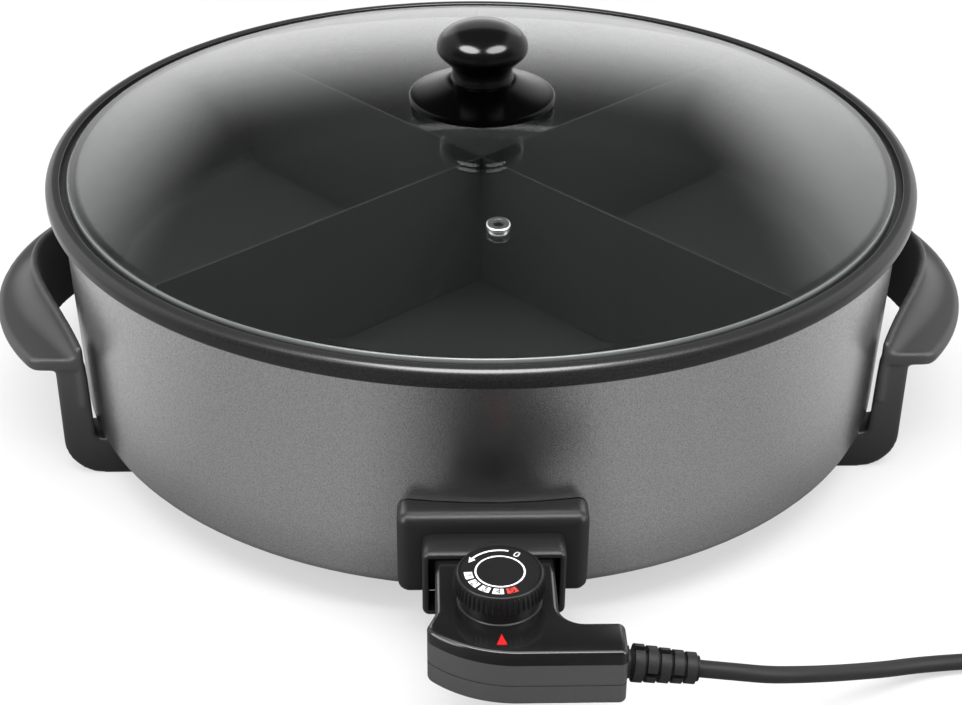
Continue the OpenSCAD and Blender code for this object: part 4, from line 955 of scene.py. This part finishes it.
def floor_material():
    """White floor, with a pattern of its own for what the gloss mirrors."""
    mat = material("floor_white", (0.75, 0.75, 0.75), 1.0, specular=0.0)
    tree = mat.node_tree
    ray = add_node(tree, "ShaderNodeLightPath").outputs
    inputs = {"Vector": object_place(tree), "Location": (0, -PAN_Y, 0)}
    centre = add_node(tree, "ShaderNodeMapping", inputs).outputs["Vector"]
    far = add_node(tree, "ShaderNodeVectorMath", {0: centre}, operation="LENGTH").outputs["Value"]
    way = add_node(tree, "ShaderNodeVectorMath", {0: centre}, operation="NORMALIZE").outputs["Vector"]
    axes = split_axes(tree, way)
    # Mirrored: dimmer to the front and close behind it, with a painted shadow under and round the pan's
    # foot, and a painted dark strip straight in front, darkest there
    to_front = span(tree, axes["Y"], -0.6, 0.5, 0.4, 1.0)
    off_front = calc(tree, "MAXIMUM", calc(tree, "ABSOLUTE", axes["X"]), axes["Y"])
    painted_dark_strip = span(tree, off_front, 0.02, 0.42, 0.12, 1.0, "SMOOTHSTEP")
    rear, close = span(tree, axes["Y"], 0.6, 0.95, 0.0, 0.55), span(tree, far, 0.7, 1.2, 1.0, 0.0)
    not_rear = calc(tree, "SUBTRACT", 1.0, product(tree, rear, close))
    level = product(tree, to_front, painted_dark_strip, not_rear, span(tree, far, 0.2, 0.26, 0.45, 1.0))
    # Seen straight, the floor is mostly plain white, and its shadow is soft
    white = emission(tree, span(tree, far, 0.6, 1.6, 0.78, 1.55))
    share = product(tree, ray["Is Camera Ray"], 0.66)
    seen = mix_shaders(tree, share, shader_of(mat).outputs["BSDF"], white)
    return surface(mat, mix_shaders(tree, ray["Is Glossy Ray"], seen, emission(tree, level)))


def make_floor():
    corners = [(-1, -1), (1, -1), (1, 1), (-1, 1)]
    floor = mesh_object("floor", [(FLOOR_HALF * x, FLOOR_HALF * y, 0) for x, y in corners], [(0, 1, 2, 3)])
    floor.data.materials.append(floor_material())


def make_world():
    world = bpy.data.worlds.new("studio")
    SCENE.world = world
    world.use_nodes = True
    tree = world.node_tree
    ray = add_node(tree, "ShaderNodeLightPath").outputs
    # White behind the object: seen straight, or through glass before any other bounce
    bounced = calc(tree, "ADD", ray["Diffuse Depth"], ray["Glossy Depth"])
    through = product(tree, ray["Is Transmission Ray"], calc(tree, "LESS_THAN", bounced, 0.5))
    either = calc(tree, "MAXIMUM", ray["Is Camera Ray"], through)
    # What shines back from gloss: white low down behind and to the sides, dim overhead and in front
    axes = split_axes(tree, add_node(tree, "ShaderNodeTexCoord").outputs["Generated"])
    reach = span(tree, calc(tree, "ABSOLUTE", axes["X"]), 0.23, 1.0, 0.0, 1.46)
    fall = span(tree, calc(tree, "SUBTRACT", axes["Z"], reach), 0.06, 0.42, 1.2, 0.07, "SMOOTHSTEP")
    mirrored = backdrop(tree, product(tree, fall, span(tree, axes["Y"], -0.35, 0.1, 0.08, 1.0)))
    gloss = mix_shaders(tree, ray["Is Glossy Ray"], backdrop(tree, 0.9), mirrored)
    blend = mix_shaders(tree, either, gloss, backdrop(tree, 1.0))
    tree.links.new(blend, tree.nodes["World Output"].inputs["Surface"])


def softbox(name, at, aim, size, power, shape="ELLIPSE"):
    data = bpy.data.lights.new(name, "AREA")
    data.shape = shape
    data.size, data.size_y = size
    data.energy = power
    obj = link(bpy.data.objects.new(name, data))
    look = (Vector(aim) - Vector(at)).to_track_quat("-Z", "Y")
    obj.matrix_world = Matrix.Translation(at) @ look.to_matrix().to_4x4()
    return obj


def lit_by(name, lamps, objects, state):
    """Lets lamps light only these pieces (INCLUDE), or all but these (EXCLUDE)."""
    group = bpy.data.collections.new(name)
    for obj in objects:
        group.objects.link(obj)
    for entry in group.collection_objects:
        entry.light_linking.link_state = state
    for lamp in lamps:
        lamp.light_linking.receiver_collection = group


def make_lamps(pan, glass, edge, knob, plate):
    top_box = softbox("top_box", (0, -0.35, 1.9), GROUND_AIM, (2.6, 1.5), 32)
    front_strip = softbox("front_strip", (0, -0.6, 1.25), FRONT_AIM, (1.7, 0.2), 16, "RECTANGLE")
    beside = [
        softbox("left_box", (-1.3, -0.75, 0.75), BODY_AIM, (0.9, 1.1), 17),
        softbox("right_box", (1.3, -0.7, 0.75), BODY_AIM, (0.9, 1.1), 15),
    ]
    on_knob = [
        softbox("knob_left", (-0.31, -0.24, 0.74), KNOB_AIM, (0.56, 0.36), 24),
        softbox("knob_right", (0.31, -0.24, 0.74), KNOB_AIM, (0.56, 0.36), 19),
        softbox("knob_back", (0, 1.34, 0.71), KNOB_AIM, (2.0, 1.1), 6),
    ]
    rim_strip = softbox("rim_strip", (0, -0.08, 1.25), RIM_AIM, (0.7, 0.9), 32)
    lit_by("shaded_from_above", [top_box], (knob, plate), "EXCLUDE")
    lit_by("shaded_from_the_strip", [front_strip], (knob, plate, pan, glass), "EXCLUDE")
    lit_by("shaded_from_the_sides", beside, (pan, glass, edge, knob, plate), "EXCLUDE")
    lit_by("knob_alone", on_knob, (knob,), "INCLUDE")
    lit_by("rim_alone", [rim_strip], (pan, edge), "INCLUDE")


# The making: camera and cord first, then the pieces from the pan up, the thermostat and the stage

make_camera()
mains_cord()
housing_and_inlet()
pan = cooking_pan()
glass, edge = glass_lid()
knob, plate = knob_and_plate()
steam_vent()
handle(-1, "handle_left")
handle(1, "handle_right")
controller()
dial()
dial_prints()
make_floor()
make_world()
make_lamps(pan, glass, edge, knob, plate)

SCENE.view_settings.view_transform = "Standard"

bpy.context.view_layer.update()
